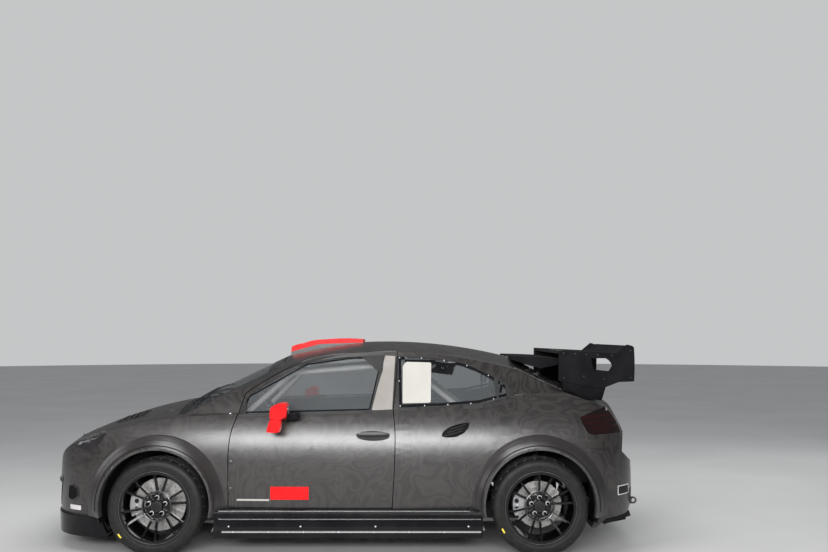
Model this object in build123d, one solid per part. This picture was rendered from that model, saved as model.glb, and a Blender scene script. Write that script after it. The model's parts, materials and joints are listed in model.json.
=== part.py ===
from build123d import *
import math
import os

# Rally car, in millimetres. The nose points to -X, the left side to -Y, and Z is up from the ground.
# The origin is on the ground, at the middle of the overall length and width.

# Main sizes
WHEELBASE = 2588.0
FRONT_OVERHANG = 870.0
REAR_OVERHANG = 745.0
WHEEL_Y = 785.0
TYRE_RADIUS = 325.0
TYRE_WIDTH = 216.0
LENGTH = WHEELBASE + FRONT_OVERHANG + REAR_OVERHANG
NOSE_X = -LENGTH / 2
TAIL_X = LENGTH / 2
FRONT_AXLE_X = NOSE_X + FRONT_OVERHANG
REAR_AXLE_X = FRONT_AXLE_X + WHEELBASE
AXLE_Z = TYRE_RADIUS

# Shell and gaps
DOOR_THICKNESS = 48.0
SILL_THICKNESS = 92.0
PILLAR_THICKNESS = 70.0
APERTURE_FLANGE = 34.0
PANEL_THICKNESS = 22.0
GLASS_THICKNESS = 5.0
GLASS_RECESS = 3.0
SHUT_GAP = 6.0
SEAT_GAP = 0.3

# Wheel arches and their flares
ARCH_RADIUS = 370.0
ARCH_RISE = 12.0
FLARE_BAND = 92.0
FLARE_Y = 912.0
FLARE_FOOT_Z = 262.0
HOUSING_RADIUS = 408.0
HOUSING_INNER_Y = 492.0
HOUSING_WALL = 6.0
LIP_Y = 846.0

# Half width used for the outer profile of each loft
BODY_EDGE_Y = 900.0
CABIN_EDGE_Y = 840.0
NOSE_BOW = 120.0
TAIL_BOW = 110.0


def front(dx):
    """X of a place measured rearwards from the front axle."""
    return FRONT_AXLE_X + dx


def rear(dx):
    """X of a place measured rearwards from the rear axle."""
    return REAR_AXLE_X + dx


# Plan outlines of the lower body: height, nose, half width, tail, front corner radius, rear corner radius
BODY_PLANS = (
    (90.0, front(-822.0), 806.0, rear(700.0), 430.0, 380.0),
    (300.0, front(-862.0), 858.0, rear(745.0), 450.0, 390.0),
    (540.0, front(-865.0), 872.0, rear(748.0), 450.0, 390.0),
    (780.0, front(-838.0), 852.0, rear(725.0), 440.0, 390.0),
    (930.0, front(-790.0), 808.0, rear(690.0), 430.0, 400.0),
    (1140.0, front(-700.0), 730.0, rear(620.0), 420.0, 400.0),
)
BODY_WIDEST_X = 80.0
NOSE_RADIUS = 1500.0
TAIL_RADIUS = 2600.0
BODY_SIDE_RADIUS = 15000.0

# Plan outlines of the cabin: height, half width
CABIN_PLANS = (
    (850.0, 826.0),
    (1050.0, 765.0),
    (1250.0, 672.0),
    (1460.0, 530.0),
)
CABIN_WIDEST_X = 150.0
CABIN_SIDE_RADIUS = 7600.0
CABIN_NOSE_X = front(-420.0)
CABIN_TAIL_X = rear(600.0)
CABIN_END_RADIUS = 1600.0
CABIN_CORNER_RADIUS = 300.0

# Straight block that joins the hollow of the body and of the cabin at the waist
WAIST_Z = 780.0
WAIST_HEIGHT = 190.0
WAIST_HALF = 790.0

# Side profile of the lower body: X, Z in the middle, Z at the edge, bulge of the arc to the next row,
# shift in X at the edge
BODY_PROFILE = (
    (front(-765.0), 108.0, 108.0, 8.0, NOSE_BOW),
    (front(-826.0), 290.0, 290.0, 4.0, NOSE_BOW),
    (front(-828.0), 500.0, 500.0, 12.0, NOSE_BOW),
    (front(-795.0), 655.0, 632.0, 18.0, NOSE_BOW),
    (front(-620.0), 792.0, 735.0, 30.0, NOSE_BOW),
    (front(160.0), 1006.0, 893.0, 12.0, NOSE_BOW),
    (rear(-660.0), 1050.0, 972.0, 10.0, 0.0),
    (rear(190.0), 1122.0, 1052.0, 6.0, 0.0),
    (rear(588.0), 988.0, 930.0, 6.0, -TAIL_BOW),
    (rear(672.0), 806.0, 790.0, 0.0, -TAIL_BOW),
    (rear(660.0), 664.0, 664.0, 0.0, -TAIL_BOW),
    (rear(731.0), 586.0, 586.0, 6.0, -TAIL_BOW),
    (rear(REAR_OVERHANG), 450.0, 450.0, 3.0, -TAIL_BOW),
    (rear(737.0), 311.0, 311.0, 6.0, -TAIL_BOW),
    (rear(690.0), 238.0, 238.0, 0.0, -TAIL_BOW),
    (rear(540.0), 222.0, 222.0, 0.0, -TAIL_BOW),
    (rear(470.0), 162.0, 162.0, 0.0, -TAIL_BOW),
    (front(-380.0), 140.0, 140.0, 0.0, 0.0),
)

# Side profile of the cabin, with the same columns
CABIN_PROFILE = (
    (front(-125.0), 862.0, 862.0, 16.0, 187.0),
    (front(811.0), 1337.0, 1197.0, 14.0, 144.0),
    (front(1380.0), 1427.0, 1293.0, 42.0, 0.0),
    (rear(-93.0), 1304.0, 1169.0, 0.0, -58.0),
    (rear(340.0), 1072.0, 1026.0, 0.0, -86.0),
    (rear(340.0), 862.0, 862.0, 0.0, -86.0),
)


# Basic shape makers

def arc_or_line(start, end, bulge, lift):
    """Edge between two flat points, bulged to the left of its direction, placed in space by lift."""
    if abs(bulge) < 1e-6:
        return Edge.make_line(lift(start), lift(end))
    dx = end[0] - start[0]
    dy = end[1] - start[1]
    chord = math.hypot(dx, dy)
    middle = ((start[0] + end[0]) / 2 - dy / chord * bulge, (start[1] + end[1]) / 2 + dx / chord * bulge)
    return Edge.make_three_point_arc(lift(start), lift(middle), lift(end))


def outline(rows, lift):
    """Closed wire through rows of (first, second, bulge to the next row)."""
    edges = []
    for index, row in enumerate(rows):
        following = rows[(index + 1) % len(rows)]
        bulge = row[2] if len(row) > 2 else 0.0
        edges.append(arc_or_line(row[:2], following[:2], bulge, lift))
    return Wire(edges)


def at_y(y):
    """Places a flat side-view point at one Y."""
    return lambda point: (point[0], y, point[1])


def at_z(z):
    """Places a flat plan point at one Z."""
    return lambda point: (point[0], point[1], z)


def at_x(x):
    """Places a flat front-view point (Y, Z) at one X."""
    return lambda point: (x, point[0], point[1])


def side_block(rows, y0, y1):
    """Solid with a side-view outline between two Y."""
    return extrude(Face(outline(rows, at_y(y0))), amount=y1 - y0, dir=(0, 1, 0))


def plan_block(rows, z0, z1):
    """Solid with a plan outline between two Z."""
    return extrude(Face(outline(rows, at_z(z0))), amount=z1 - z0, dir=(0, 0, 1))


def front_block(rows, x0, x1):
    """Solid with a front-view outline between two X."""
    return extrude(Face(outline(rows, at_x(x0))), amount=x1 - x0, dir=(1, 0, 0))


def box(x0, x1, y0, y1, z0, z1):
    """Solid box between two corners."""
    return Pos((x0 + x1) / 2, (y0 + y1) / 2, (z0 + z1) / 2) * Box(x1 - x0, y1 - y0, z1 - z0)


def rod(start, end, radius):
    """Round bar between two points."""
    start = Vector(*start)
    end = Vector(*end)
    plane = Plane(origin=start, z_dir=end - start)
    return plane * Cylinder(radius, (end - start).length, align=(Align.CENTER, Align.CENTER, Align.MIN))


def across(x, z, radius, y0, y1):
    """Round bar along Y."""
    return rod((x, min(y0, y1), z), (x, max(y0, y1), z), radius)


def tube_run(points, radius):
    """Bars through points with a ball at each inner point, as one welded tube."""
    shape = rod(points[0], points[1], radius)
    for start, end in zip(points[1:-1], points[2:]):
        shape += rod(start, end, radius)
        shape += Pos(*start) * Sphere(radius)
    return shape


def ring_about_wheel(rows, x, z):
    """Turns rows of (radius, Y, bulge) about an axle line along Y."""
    face = Face(outline(rows, lambda point: (x, point[1], z + point[0])))
    return revolve(face, axis=Axis((x, 0, z), (0, 1, 0)), revolution_arc=360)


def mirrored(shape):
    """The same shape on the other side of the car."""
    return mirror(shape, about=Plane.XZ)


def moved_in(rows, distance):
    """Rows with every side of the outline moved inwards by one distance. Clockwise rows."""
    count = len(rows)
    result = []
    for index in range(count):
        before = rows[index - 1]
        here = rows[index]
        after = rows[(index + 1) % count]
        ax, ay = here[0] - before[0], here[1] - before[1]
        bx, by = after[0] - here[0], after[1] - here[1]
        al, bl = math.hypot(ax, ay), math.hypot(bx, by)
        an = (ay / al, -ax / al)
        bn = (by / bl, -bx / bl)
        share = 1 + an[0] * bn[0] + an[1] * bn[1]
        x = here[0] + distance * (an[0] + bn[0]) / share
        y = here[1] + distance * (an[1] + bn[1]) / share
        result.append((x, y) + tuple(here[2:]))
    return result


# Master form

def plan_wire(z, nose_x, half, tail_x, nose_corner, tail_corner, widest_x, side_radius, nose_radius,
              tail_radius, inset):
    """Closed plan outline of eight tangent arcs."""
    side_r = side_radius - inset
    side_c = (widest_x, half - side_radius)
    wires = []
    for sign, end_x, end_r, corner_r in ((-1, nose_x, nose_radius, nose_corner),
                                         (1, tail_x, tail_radius, tail_corner)):
        end_r -= inset
        corner_r -= inset
        end_cx = end_x - sign * inset - sign * end_r
        reach_end = end_r - corner_r
        reach_side = side_r - corner_r
        dx, dy = side_c[0] - end_cx, side_c[1]
        gap = math.hypot(dx, dy)
        along = (reach_end ** 2 - reach_side ** 2 + gap ** 2) / (2 * gap)
        up = math.sqrt(reach_end ** 2 - along ** 2)
        options = []
        for turn in (-1, 1):
            cx = end_cx + along * dx / gap + turn * up * dy / gap
            cy = along * dy / gap - turn * up * dx / gap
            options.append((cx, cy))
        cx, cy = max(options, key=lambda spot: sign * spot[0])
        end_unit = ((cx - end_cx) / reach_end, cy / reach_end)
        side_unit = ((cx - side_c[0]) / reach_side, (cy - side_c[1]) / reach_side)
        end_point = (cx + corner_r * end_unit[0], cy + corner_r * end_unit[1])
        side_point = (cx + corner_r * side_unit[0], cy + corner_r * side_unit[1])
        middle = (end_unit[0] + side_unit[0], end_unit[1] + side_unit[1])
        size = math.hypot(*middle)
        corner_middle = (cx + corner_r * middle[0] / size, cy + corner_r * middle[1] / size)
        wires.append((end_point, corner_middle, side_point, (end_cx + sign * end_r, 0)))
    (nose_p, nose_m, nose_s, nose_apex), (tail_p, tail_m, tail_s, tail_apex) = wires
    side_top = (widest_x, half - inset)

    def spot(point, sign):
        return (point[0], sign * point[1], z)

    edges = [Edge.make_three_point_arc(spot(nose_p, -1), spot(nose_apex, 1), spot(nose_p, 1)),
             Edge.make_three_point_arc(spot(nose_p, 1), spot(nose_m, 1), spot(nose_s, 1)),
             Edge.make_three_point_arc(spot(nose_s, 1), spot(side_top, 1), spot(tail_s, 1)),
             Edge.make_three_point_arc(spot(tail_s, 1), spot(tail_m, 1), spot(tail_p, 1)),
             Edge.make_three_point_arc(spot(tail_p, 1), spot(tail_apex, 1), spot(tail_p, -1)),
             Edge.make_three_point_arc(spot(tail_p, -1), spot(tail_m, -1), spot(tail_s, -1)),
             Edge.make_three_point_arc(spot(tail_s, -1), spot(side_top, -1), spot(nose_s, -1)),
             Edge.make_three_point_arc(spot(nose_s, -1), spot(nose_m, -1), spot(nose_p, -1))]
    return Wire(edges)


def profile_solid(rows, edge_y, inset):
    """Loft across the car from side profiles at the left edge, the middle and the right edge."""
    wires = []
    for y in (-edge_y, 0.0, edge_y):
        points = []
        for x, z_mid, z_edge, bulge, shift in rows:
            points.append((x + (shift if y else 0.0), z_edge if y else z_mid, bulge))
        wires.append(outline(moved_in(points, inset), at_y(y)))
    return Solid.make_loft(wires, False)


def body_master(inset):
    """Lower body form, moved inwards by inset."""
    wires = []
    for z, nose, half, tail, nose_corner, tail_corner in BODY_PLANS:
        wires.append(plan_wire(z, nose, half, tail, nose_corner, tail_corner, BODY_WIDEST_X,
                               BODY_SIDE_RADIUS, NOSE_RADIUS, TAIL_RADIUS, inset))
    plan = Solid.make_loft(wires, False)
    return plan & profile_solid(BODY_PROFILE, BODY_EDGE_Y, inset)


def cabin_master(inset):
    """Cabin form above the belt, moved inwards by inset."""
    wires = []
    for z, half in CABIN_PLANS:
        wires.append(plan_wire(z, CABIN_NOSE_X, half, CABIN_TAIL_X, CABIN_CORNER_RADIUS, CABIN_CORNER_RADIUS,
                               CABIN_WIDEST_X, CABIN_SIDE_RADIUS, CABIN_END_RADIUS, CABIN_END_RADIUS, inset))
    plan = Solid.make_loft(wires, False)
    return plan & profile_solid(CABIN_PROFILE, CABIN_EDGE_Y, inset)


# Panels

class Shell:
    """The outer form of the car, and the same form moved in by the thickness of a door and of a panel."""

    def __init__(self):
        self.lower = body_master(0.0)
        self.cabin = cabin_master(0.0)
        self.lower_flared = self.lower + self.flares()
        self.whole = self.lower_flared + self.cabin
        self.door_core = body_master(DOOR_THICKNESS) + cabin_master(DOOR_THICKNESS)
        self.panel_core = body_master(PANEL_THICKNESS) + cabin_master(PANEL_THICKNESS)
        seat_depth = DOOR_THICKNESS + SHUT_GAP
        self.door_seat = body_master(seat_depth) + cabin_master(seat_depth)
        waist = plan_wire(WAIST_Z, CABIN_NOSE_X, WAIST_HALF, CABIN_TAIL_X, CABIN_CORNER_RADIUS,
                          CABIN_CORNER_RADIUS, CABIN_WIDEST_X, CABIN_SIDE_RADIUS, CABIN_END_RADIUS,
                          CABIN_END_RADIUS, SILL_THICKNESS)
        self.side_core = body_master(SILL_THICKNESS) + cabin_master(PILLAR_THICKNESS)
        self.side_core += extrude(Face(waist), amount=WAIST_HEIGHT, dir=(0, 0, 1))
        self.clear_of = body_master(-SHUT_GAP) + cabin_master(-SHUT_GAP)
        glass_outer = cabin_master(GLASS_RECESS)
        self.glass_layer = glass_outer - cabin_master(GLASS_RECESS + GLASS_THICKNESS)

    def flares(self):
        """Four wide bands round the wheel arches, cut off above the sills."""
        bands = None
        for axle_x in (FRONT_AXLE_X, REAR_AXLE_X):
            rows = ((ARCH_RADIUS - 14, -LIP_Y + 70, 0.0), (ARCH_RADIUS - 14, -FLARE_Y + 4, 0.0),
                    (ARCH_RADIUS + 12, -FLARE_Y, 5.0), (ARCH_RADIUS + FLARE_BAND, -LIP_Y + 6, 0.0),
                    (ARCH_RADIUS + FLARE_BAND, -LIP_Y + 70, 0.0))
            ring = ring_about_wheel(rows, axle_x, AXLE_Z + ARCH_RISE)
            keep = box(axle_x - 600, axle_x + 600, -1000, 0, FLARE_FOOT_Z, 1000)
            band = ring & keep
            bands = band if bands is None else bands + band
            bands = bands + mirrored(band)
        return bands


def wheel_openings():
    """What is cut from the shell at each wheel: the opening in the lip and the wider housing inside."""
    cuts = None
    for axle_x in (FRONT_AXLE_X, REAR_AXLE_X):
        z = AXLE_Z + ARCH_RISE
        for side in (-1, 1):
            cut = across(axle_x, z, ARCH_RADIUS, side * (LIP_Y - 10), side * 1000)
            cut += across(axle_x, z, HOUSING_RADIUS, side * HOUSING_INNER_Y, side * LIP_Y)
            cuts = cut if cuts is None else cuts + cut
    return cuts


DOOR_REAR_SLANT = math.tan(math.radians(16.0))
SLANT_OUTER_Y = 960.0
SLANT_INNER_Y = 480.0
DOOR_INNER_Y = 562.0

# Door outline in the side view, clockwise: X, Z, bulge, and on the slanted rear edge the half width of the
# skin there
DOOR_ROWS = (
    (front(487.0), 320.0, 0.0, 0.0),
    (front(482.0), 664.0, 3.0, 0.0),
    (front(492.0), 800.0, 3.0, 0.0),
    (front(521.0), 900.0, 0.0, 0.0),
    (front(572.0), 1073.0, 14.0, 0.0),
    (front(980.0), 1302.0, 8.0, 0.0),
    (front(1280.0), 1347.0, 4.0, 0.0),
    (rear(-970.0), 1362.0, 0.0, 600.0),
    (rear(-992.0), 966.0, 0.0, 802.0),
    (rear(-979.0), 831.0, 0.0, 845.0),
    (rear(-983.0), 635.0, 0.0, 868.0),
    (rear(-1000.0), 320.0, 0.0, 857.0),
)

# Window outlines in the side view, clockwise: X, Z, bulge
DOOR_WINDOW_ROWS = (
    (front(538.0), 938.0, 0.0),
    (front(594.0), 1060.0, 12.0),
    (front(985.0), 1281.0, 8.0),
    (front(1280.0), 1322.0, 3.0),
    (rear(-1063.0), 1332.0, 0.0),
    (rear(-1147.0), 964.0, 4.0),
)
QUARTER_WINDOW_ROWS = (
    (rear(-953.0), 980.0, 0.0),
    (rear(-963.0), 1328.0, 6.0),
    (rear(-505.0), 1280.0, 22.0),
    (rear(-150.0), 1079.0, 0.0),
    (rear(-160.0), 1062.0, 8.0),
    (rear(-400.0), 1007.0, 2.0),
)


def door_block(offset):
    """Side region of the left door, moved in by offset, with its rear edge slanted so that it opens clear."""
    wires = []
    for y in (SLANT_OUTER_Y, SLANT_INNER_Y):
        rows = []
        for x, z, bulge, skin in DOOR_ROWS:
            shift = (y - skin) * DOOR_REAR_SLANT if skin else 0.0
            rows.append((x + shift, z, bulge))
        wires.append(outline(moved_in(rows, offset), at_y(-y)))
    return Solid.make_loft(wires, True)


BUMPER_SEAM_X = front(-318.0)
FENDER_REAR_X = front(481.0)
REAR_BUMPER_X = rear(352.0)
TAIL_SEAM_Z = 664.0
FLOOR_TOP_Z = 206.0
ROOF_FRONT_X = front(806.0)
ROOF_REAR_X = rear(-150.0)
ROOF_HALF = 552.0
SIDE_INNER_Y = 470.0
SILL_INNER_Y = 770.0
SILL_INNER_TOP_Z = 260.0
COWL_HALF = 688.0

# Plan outline of the bonnet, clockwise: X, Y, bulge
BONNET_ROWS = (
    (front(-780.0), 380.0, 10.0),
    (front(-640.0), 590.0, 0.0),
    (front(-60.0), 690.0, 0.0),
    (front(95.0), 690.0, -26.0),
    (front(95.0), -690.0, 0.0),
    (front(-60.0), -690.0, 0.0),
    (front(-640.0), -590.0, 10.0),
    (front(-780.0), -380.0, 36.0),
)

# Plan outline of the windscreen opening, clockwise: X, Y, bulge
WINDSCREEN_ROWS = (
    (front(40.0), 690.0, 0.0),
    (front(240.0), 690.0, 0.0),
    (front(792.0), 545.0, 6.0),
    (front(792.0), -545.0, 0.0),
    (front(240.0), -690.0, 0.0),
    (front(40.0), -690.0, 0.0),
)

# Rear-view outline of the tailgate and of its screen, clockwise: Y, Z, bulge
TAILGATE_ROWS = (
    (-600.0, 650.0, 0.0),
    (-618.0, 980.0, 0.0),
    (-600.0, 1075.0, 0.0),
    (-548.0, 1400.0, 0.0),
    (548.0, 1400.0, 0.0),
    (600.0, 1075.0, 0.0),
    (618.0, 980.0, 0.0),
    (600.0, 650.0, 0.0),
)
REAR_SCREEN_ROWS = (
    (-538.0, 1108.0, 0.0),
    (-500.0, 1226.0, 10.0),
    (500.0, 1226.0, 0.0),
    (538.0, 1108.0, -8.0),
)

# Side-view outlines of the lamps, clockwise: X, Z, bulge
HEADLAMP_ROWS = (
    (front(-640.0), 712.0, 6.0),
    (front(-545.0), 800.0, 8.0),
    (front(-380.0), 808.0, 3.0),
    (front(-432.0), 724.0, 3.0),
    (front(-500.0), 692.0, 4.0),
)
TAIL_LAMP_ROWS = (
    (rear(300.0), 912.0, 4.0),
    (rear(500.0), 978.0, 0.0),
    (rear(700.0), 978.0, 0.0),
    (rear(700.0), 800.0, 0.0),
    (rear(420.0), 796.0, 6.0),
    (rear(352.0), 804.0, 6.0),
)
HEADLAMP_INNER_Y = 480.0
TAIL_LAMP_INNER_Y = 612.0
LAMP_DEPTH = 60.0

# Air opening in the front bumper, rear view clockwise: Y, Z, bulge
GRILLE_ROWS = (
    (-470.0, 280.0, 0.0),
    (-560.0, 470.0, 0.0),
    (560.0, 470.0, 0.0),
    (470.0, 280.0, 0.0),
)

# Hinges: a pin held in the moving panel turns in a lug on the body
PIN_RADIUS = 3.5
EYE_RADIUS = 7.0
LUG_HALF = 9.0
LUG_GAP = 2.0
PIN_SEAT = 4.0
BONNET_HINGE = (front(60.5), 982.0)
TAILGATE_HINGE = (ROOF_REAR_X + 15.5, 1314.0)
BONNET_HINGE_Y = 70.0
TAILGATE_HINGE_Y = 150.0
DOOR_HINGE = (FENDER_REAR_X + 4.0, -846.0)
DOOR_HINGE_HEIGHTS = (440.0, 620.0)
DOOR_LUG_ROOT_Y = -785.0

# Where the door's frame is thinned inside, at the foot of the windscreen pillar, and by how far
DOOR_CORNER_RELIEF = (-9.0, -7.0, 0.0)
DOOR_CORNER = box(front(550.0), front(790.0), -720, -500, 1060, 1200)

PARTS = {}


def keep(name, shape):
    """Takes a finished piece under its node name."""
    PARTS[name] = shape


def keep_pair(name, shape):
    """Takes a left piece and its mirror image."""
    PARTS[name + "_left"] = shape
    PARTS[name + "_right"] = mirrored(shape)


def left_half(z0=0.0, z1=2000.0, x0=-3000.0, x1=3000.0):
    """Block that holds the left side of the car."""
    return box(x0, x1, -1500, 0, z0, z1)


def lid_hinge(axis, hinge_y, root_x, reach):
    """Lug, notch and pin of a pair of hinges whose pins run along Y, as three shapes."""
    x, z = axis
    lugs, notches, pins = [], [], []
    for y in (-hinge_y, hinge_y):
        lug = box(min(x, root_x), max(x, root_x), y - LUG_HALF, y + LUG_HALF, z - EYE_RADIUS,
                  z + EYE_RADIUS - 2)
        lug += across(x, z, EYE_RADIUS, y - LUG_HALF, y + LUG_HALF)
        lugs.append(lug - across(x, z, PIN_RADIUS + SEAT_GAP, y - 50, y + 50))
        wide = LUG_HALF + LUG_GAP
        notches.append(box(min(reach, root_x), max(reach, root_x), y - wide, y + wide, z - 60, z + 60))
        pins.append(across(x, z, PIN_RADIUS, y - wide - PIN_SEAT, y + wide + PIN_SEAT))
    return lugs[0] + lugs[1], notches[0] + notches[1], pins[0] + pins[1]


def pin_room(axis, hinge_y, x0, x1):
    """Space round a lid's pins and lugs, for a piece that lies over them."""
    reach = LUG_HALF + LUG_GAP + PIN_SEAT + 2
    left = box(x0, x1, -hinge_y - reach, -hinge_y + reach, axis[1] - 60, axis[1] + 60)
    return left + mirrored(left)


def door_hinge():
    """Lug, notch and pin of the left door's upright hinges, as three shapes."""
    x, y = DOOR_HINGE
    lugs, notches, pins = [], [], []
    for z in DOOR_HINGE_HEIGHTS:
        lug = box(x - 3, x + EYE_RADIUS, y, DOOR_LUG_ROOT_Y, z - LUG_HALF, z + LUG_HALF)
        lug += rod((x, y, z - LUG_HALF), (x, y, z + LUG_HALF), EYE_RADIUS)
        lugs.append(lug - rod((x, y, z - 50), (x, y, z + 50), PIN_RADIUS + SEAT_GAP))
        high = LUG_HALF + LUG_GAP
        notches.append(box(x - 20, x + 24, y - 40, DOOR_LUG_ROOT_Y + 10, z - high, z + high))
        pins.append(rod((x, y, z - high - 8), (x, y, z + high + 8), PIN_RADIUS))
    return lugs[0] + lugs[1], notches[0] + notches[1], pins[0] + pins[1]


def make_body(shell):
    """The fixed panels and the panels that open."""
    panel_walls = shell.whole - shell.panel_core
    door_walls = shell.whole - shell.door_core
    lower_walls = shell.lower_flared - shell.panel_core
    openings = wheel_openings()
    bonnet = plan_block(BONNET_ROWS, 610, 1100)
    bonnet_hole = plan_block(moved_in(BONNET_ROWS, -SHUT_GAP), 600, 1100)
    lamps = side_block(HEADLAMP_ROWS, -1200, -HEADLAMP_INNER_Y)
    lamp_holes = side_block(moved_in(HEADLAMP_ROWS, -SEAT_GAP), -1200, -HEADLAMP_INNER_Y + SEAT_GAP)
    both_lamp_holes = lamp_holes + mirrored(lamp_holes)

    bonnet_lug, bonnet_notch, bonnet_pin = lid_hinge(BONNET_HINGE, BONNET_HINGE_Y, front(77.0), front(40.0))
    keep("bonnet", biggest((panel_walls & bonnet) - bonnet_notch + bonnet_pin))
    nose = box(-3000, BUMPER_SEAM_X - SEAT_GAP, -1500, 1500, 0, 1100)
    grille_hole = front_block(GRILLE_ROWS, -3000, front(-600))
    bumper = (lower_walls & nose) - bonnet_hole - both_lamp_holes - openings - grille_hole
    keep("front_bumper", biggest(bumper))
    grille_block = front_block(moved_in(GRILLE_ROWS, SEAT_GAP), -3000, front(-600))
    keep("grille", biggest((body_master(8.0) - body_master(PANEL_THICKNESS)) & grille_block))

    cowl_rows = moved_in(BONNET_ROWS, -SHUT_GAP)
    behind = box(front(60.0), front(230.0), -COWL_HALF, COWL_HALF, 800, 1100)
    cowl = biggest((lower_walls & behind) - plan_block(cowl_rows, 600, 1100) + bonnet_lug)
    wall = box(front(160.0), front(178.0), -800, 800, FLOOR_TOP_Z + SEAT_GAP, 1010)
    wall = (wall & shell.panel_core) - openings
    wall = wall & box(-3000, 3000, -HOUSING_INNER_Y - 200, HOUSING_INNER_Y + 200, 0, 2000)
    keep("bulkhead", biggest(wall + cowl))
    fender_zone = box(BUMPER_SEAM_X, FENDER_REAR_X, -1500, -400, FLOOR_TOP_Z + 1, 1100)
    cowl_zone = box(front(60.0), front(600.0), -COWL_HALF - SEAT_GAP, COWL_HALF + SEAT_GAP, 0, 1100)
    door_hole = door_block(-SHUT_GAP)
    fender = (lower_walls & fender_zone) - bonnet_hole - lamp_holes - openings - cowl_zone - door_hole
    lug_x, lug_y = DOOR_HINGE
    for z in DOOR_HINGE_HEIGHTS:
        fender = fender - box(lug_x - 10, lug_x, lug_y - 9, DOOR_LUG_ROOT_Y, z - 11, z + 11)
    keep_pair("fender", biggest(fender))
    lamp = ((shell.lower - body_master(LAMP_DEPTH)) & lamps) - bonnet_hole - openings
    lamp = biggest(lamp)
    keep("headlamps", group(lamp, mirrored(lamp)))

    outside = box(-3000, 3000, -1500, -DOOR_INNER_Y, 0, 2000)
    rebate = (door_hole & box(-3000, 3000, -1500, -DOOR_INNER_Y + SHUT_GAP, 0, 2000)) - shell.door_seat
    aperture = door_block(APERTURE_FLANGE) & box(-3000, 3000, -1500, -300, 0, 1500)
    window = side_block(DOOR_WINDOW_ROWS, -1200, -300)
    door_lug, door_notch, door_pin = door_hinge()
    door = (door_walls & door_block(0.0) & outside) - window
    door = door - (Pos(*DOOR_CORNER_RELIEF) * shell.door_core & DOOR_CORNER)
    keep_pair("door", biggest(door - door_notch + door_pin))
    glass_cut = side_block(moved_in(DOOR_WINDOW_ROWS, SEAT_GAP), -1200, -300)
    keep_pair("door_glass", biggest(shell.glass_layer & glass_cut))
    quarter_window = side_block(QUARTER_WINDOW_ROWS, -1200, -300)
    quarter_glass = side_block(moved_in(QUARTER_WINDOW_ROWS, SEAT_GAP), -1200, -300)
    pane = biggest(shell.glass_layer & quarter_glass)
    keep("quarter_glass", group(pane, mirrored(pane)))

    screen_hole = plan_block(WINDSCREEN_ROWS, 850, 1500)
    screen_cut = plan_block(moved_in(WINDSCREEN_ROWS, SEAT_GAP), 850, 1500)
    windscreen = biggest((shell.glass_layer & screen_cut) - shell.lower)
    keep("windscreen", windscreen)
    roof_hole = box(ROOF_FRONT_X - 30, ROOF_REAR_X + 30, -ROOF_HALF - SEAT_GAP, ROOF_HALF + SEAT_GAP, 1150,
                    1600)
    roof_zone = box(ROOF_FRONT_X - 30, ROOF_REAR_X, -ROOF_HALF, ROOF_HALF, 1150, 1600)
    gate_lug, gate_notch, gate_pin = lid_hinge(TAILGATE_HINGE, TAILGATE_HINGE_Y, ROOF_REAR_X - 3,
                                               ROOF_REAR_X + 30)
    keep("roof_panel", biggest((panel_walls & roof_zone) - screen_hole + gate_lug))

    tailgate_zone = front_block(TAILGATE_ROWS, ROOF_REAR_X + SHUT_GAP, 2500)
    tailgate_zone = tailgate_zone & box(0, 2500, -700, 700, TAIL_SEAM_Z + SHUT_GAP, 1500)
    tailgate_hole = front_block(moved_in(TAILGATE_ROWS, -SHUT_GAP), ROOF_REAR_X, 2500)
    rear_screen = front_block(REAR_SCREEN_ROWS, ROOF_REAR_X, 2500)
    keep("tailgate", biggest((panel_walls & tailgate_zone) - rear_screen - gate_notch + gate_pin))
    screen_block = front_block(moved_in(REAR_SCREEN_ROWS, SEAT_GAP), ROOF_REAR_X, 2500)
    keep("rear_screen", biggest(shell.glass_layer & screen_block))

    tail_zone = box(REAR_BUMPER_X, 2500, -1500, 1500, 100, TAIL_SEAM_Z)
    keep("rear_bumper", biggest((lower_walls & tail_zone) - openings))
    tail_lamp = side_block(TAIL_LAMP_ROWS, -1200, -TAIL_LAMP_INNER_Y - SHUT_GAP)
    tail_lamp_hole = side_block(moved_in(TAIL_LAMP_ROWS, -SEAT_GAP), -1200, -300)
    tail_lamp = ((shell.lower - body_master(LAMP_DEPTH)) & tail_lamp) - openings - tailgate_hole
    tail_lamp = biggest(tail_lamp)
    keep("tail_lamps", group(tail_lamp, mirrored(tail_lamp)))
    rear_hole = box(REAR_BUMPER_X - SEAT_GAP, 2500, -1500, 1500, 0, TAIL_SEAM_Z + SEAT_GAP)
    front_hole = shell.lower_flared & box(-3000, FENDER_REAR_X + SEAT_GAP, -1500, 1500, 0, 1200)
    side = ((shell.whole - shell.side_core) & left_half(FLOOR_TOP_Z + 1)) - front_hole - rebate - aperture
    side = side - quarter_window
    roof_layer = roof_hole - shell.panel_core
    side = side - screen_hole - roof_layer - tailgate_hole - tail_lamp_hole - rear_hole - openings
    side = side & box(-3000, 3000, -1500, -SIDE_INNER_Y, 0, 2000)
    side = side - box(-3000, 3000, -SILL_INNER_Y, 0, 0, SILL_INNER_TOP_Z)
    keep_pair("side_frame", biggest(side + door_lug))
    floor_zone = box(BUMPER_SEAM_X + SEAT_GAP, REAR_BUMPER_X - SEAT_GAP, -1500, 1500, 0, FLOOR_TOP_Z)
    keep("floor_pan", biggest((lower_walls & floor_zone) - openings))


def biggest(shape):
    """The largest solid of a shape, which drops slivers left at tangent cuts."""
    return max(shape.solids(), key=lambda solid: solid.volume)


# Running gear

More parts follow.
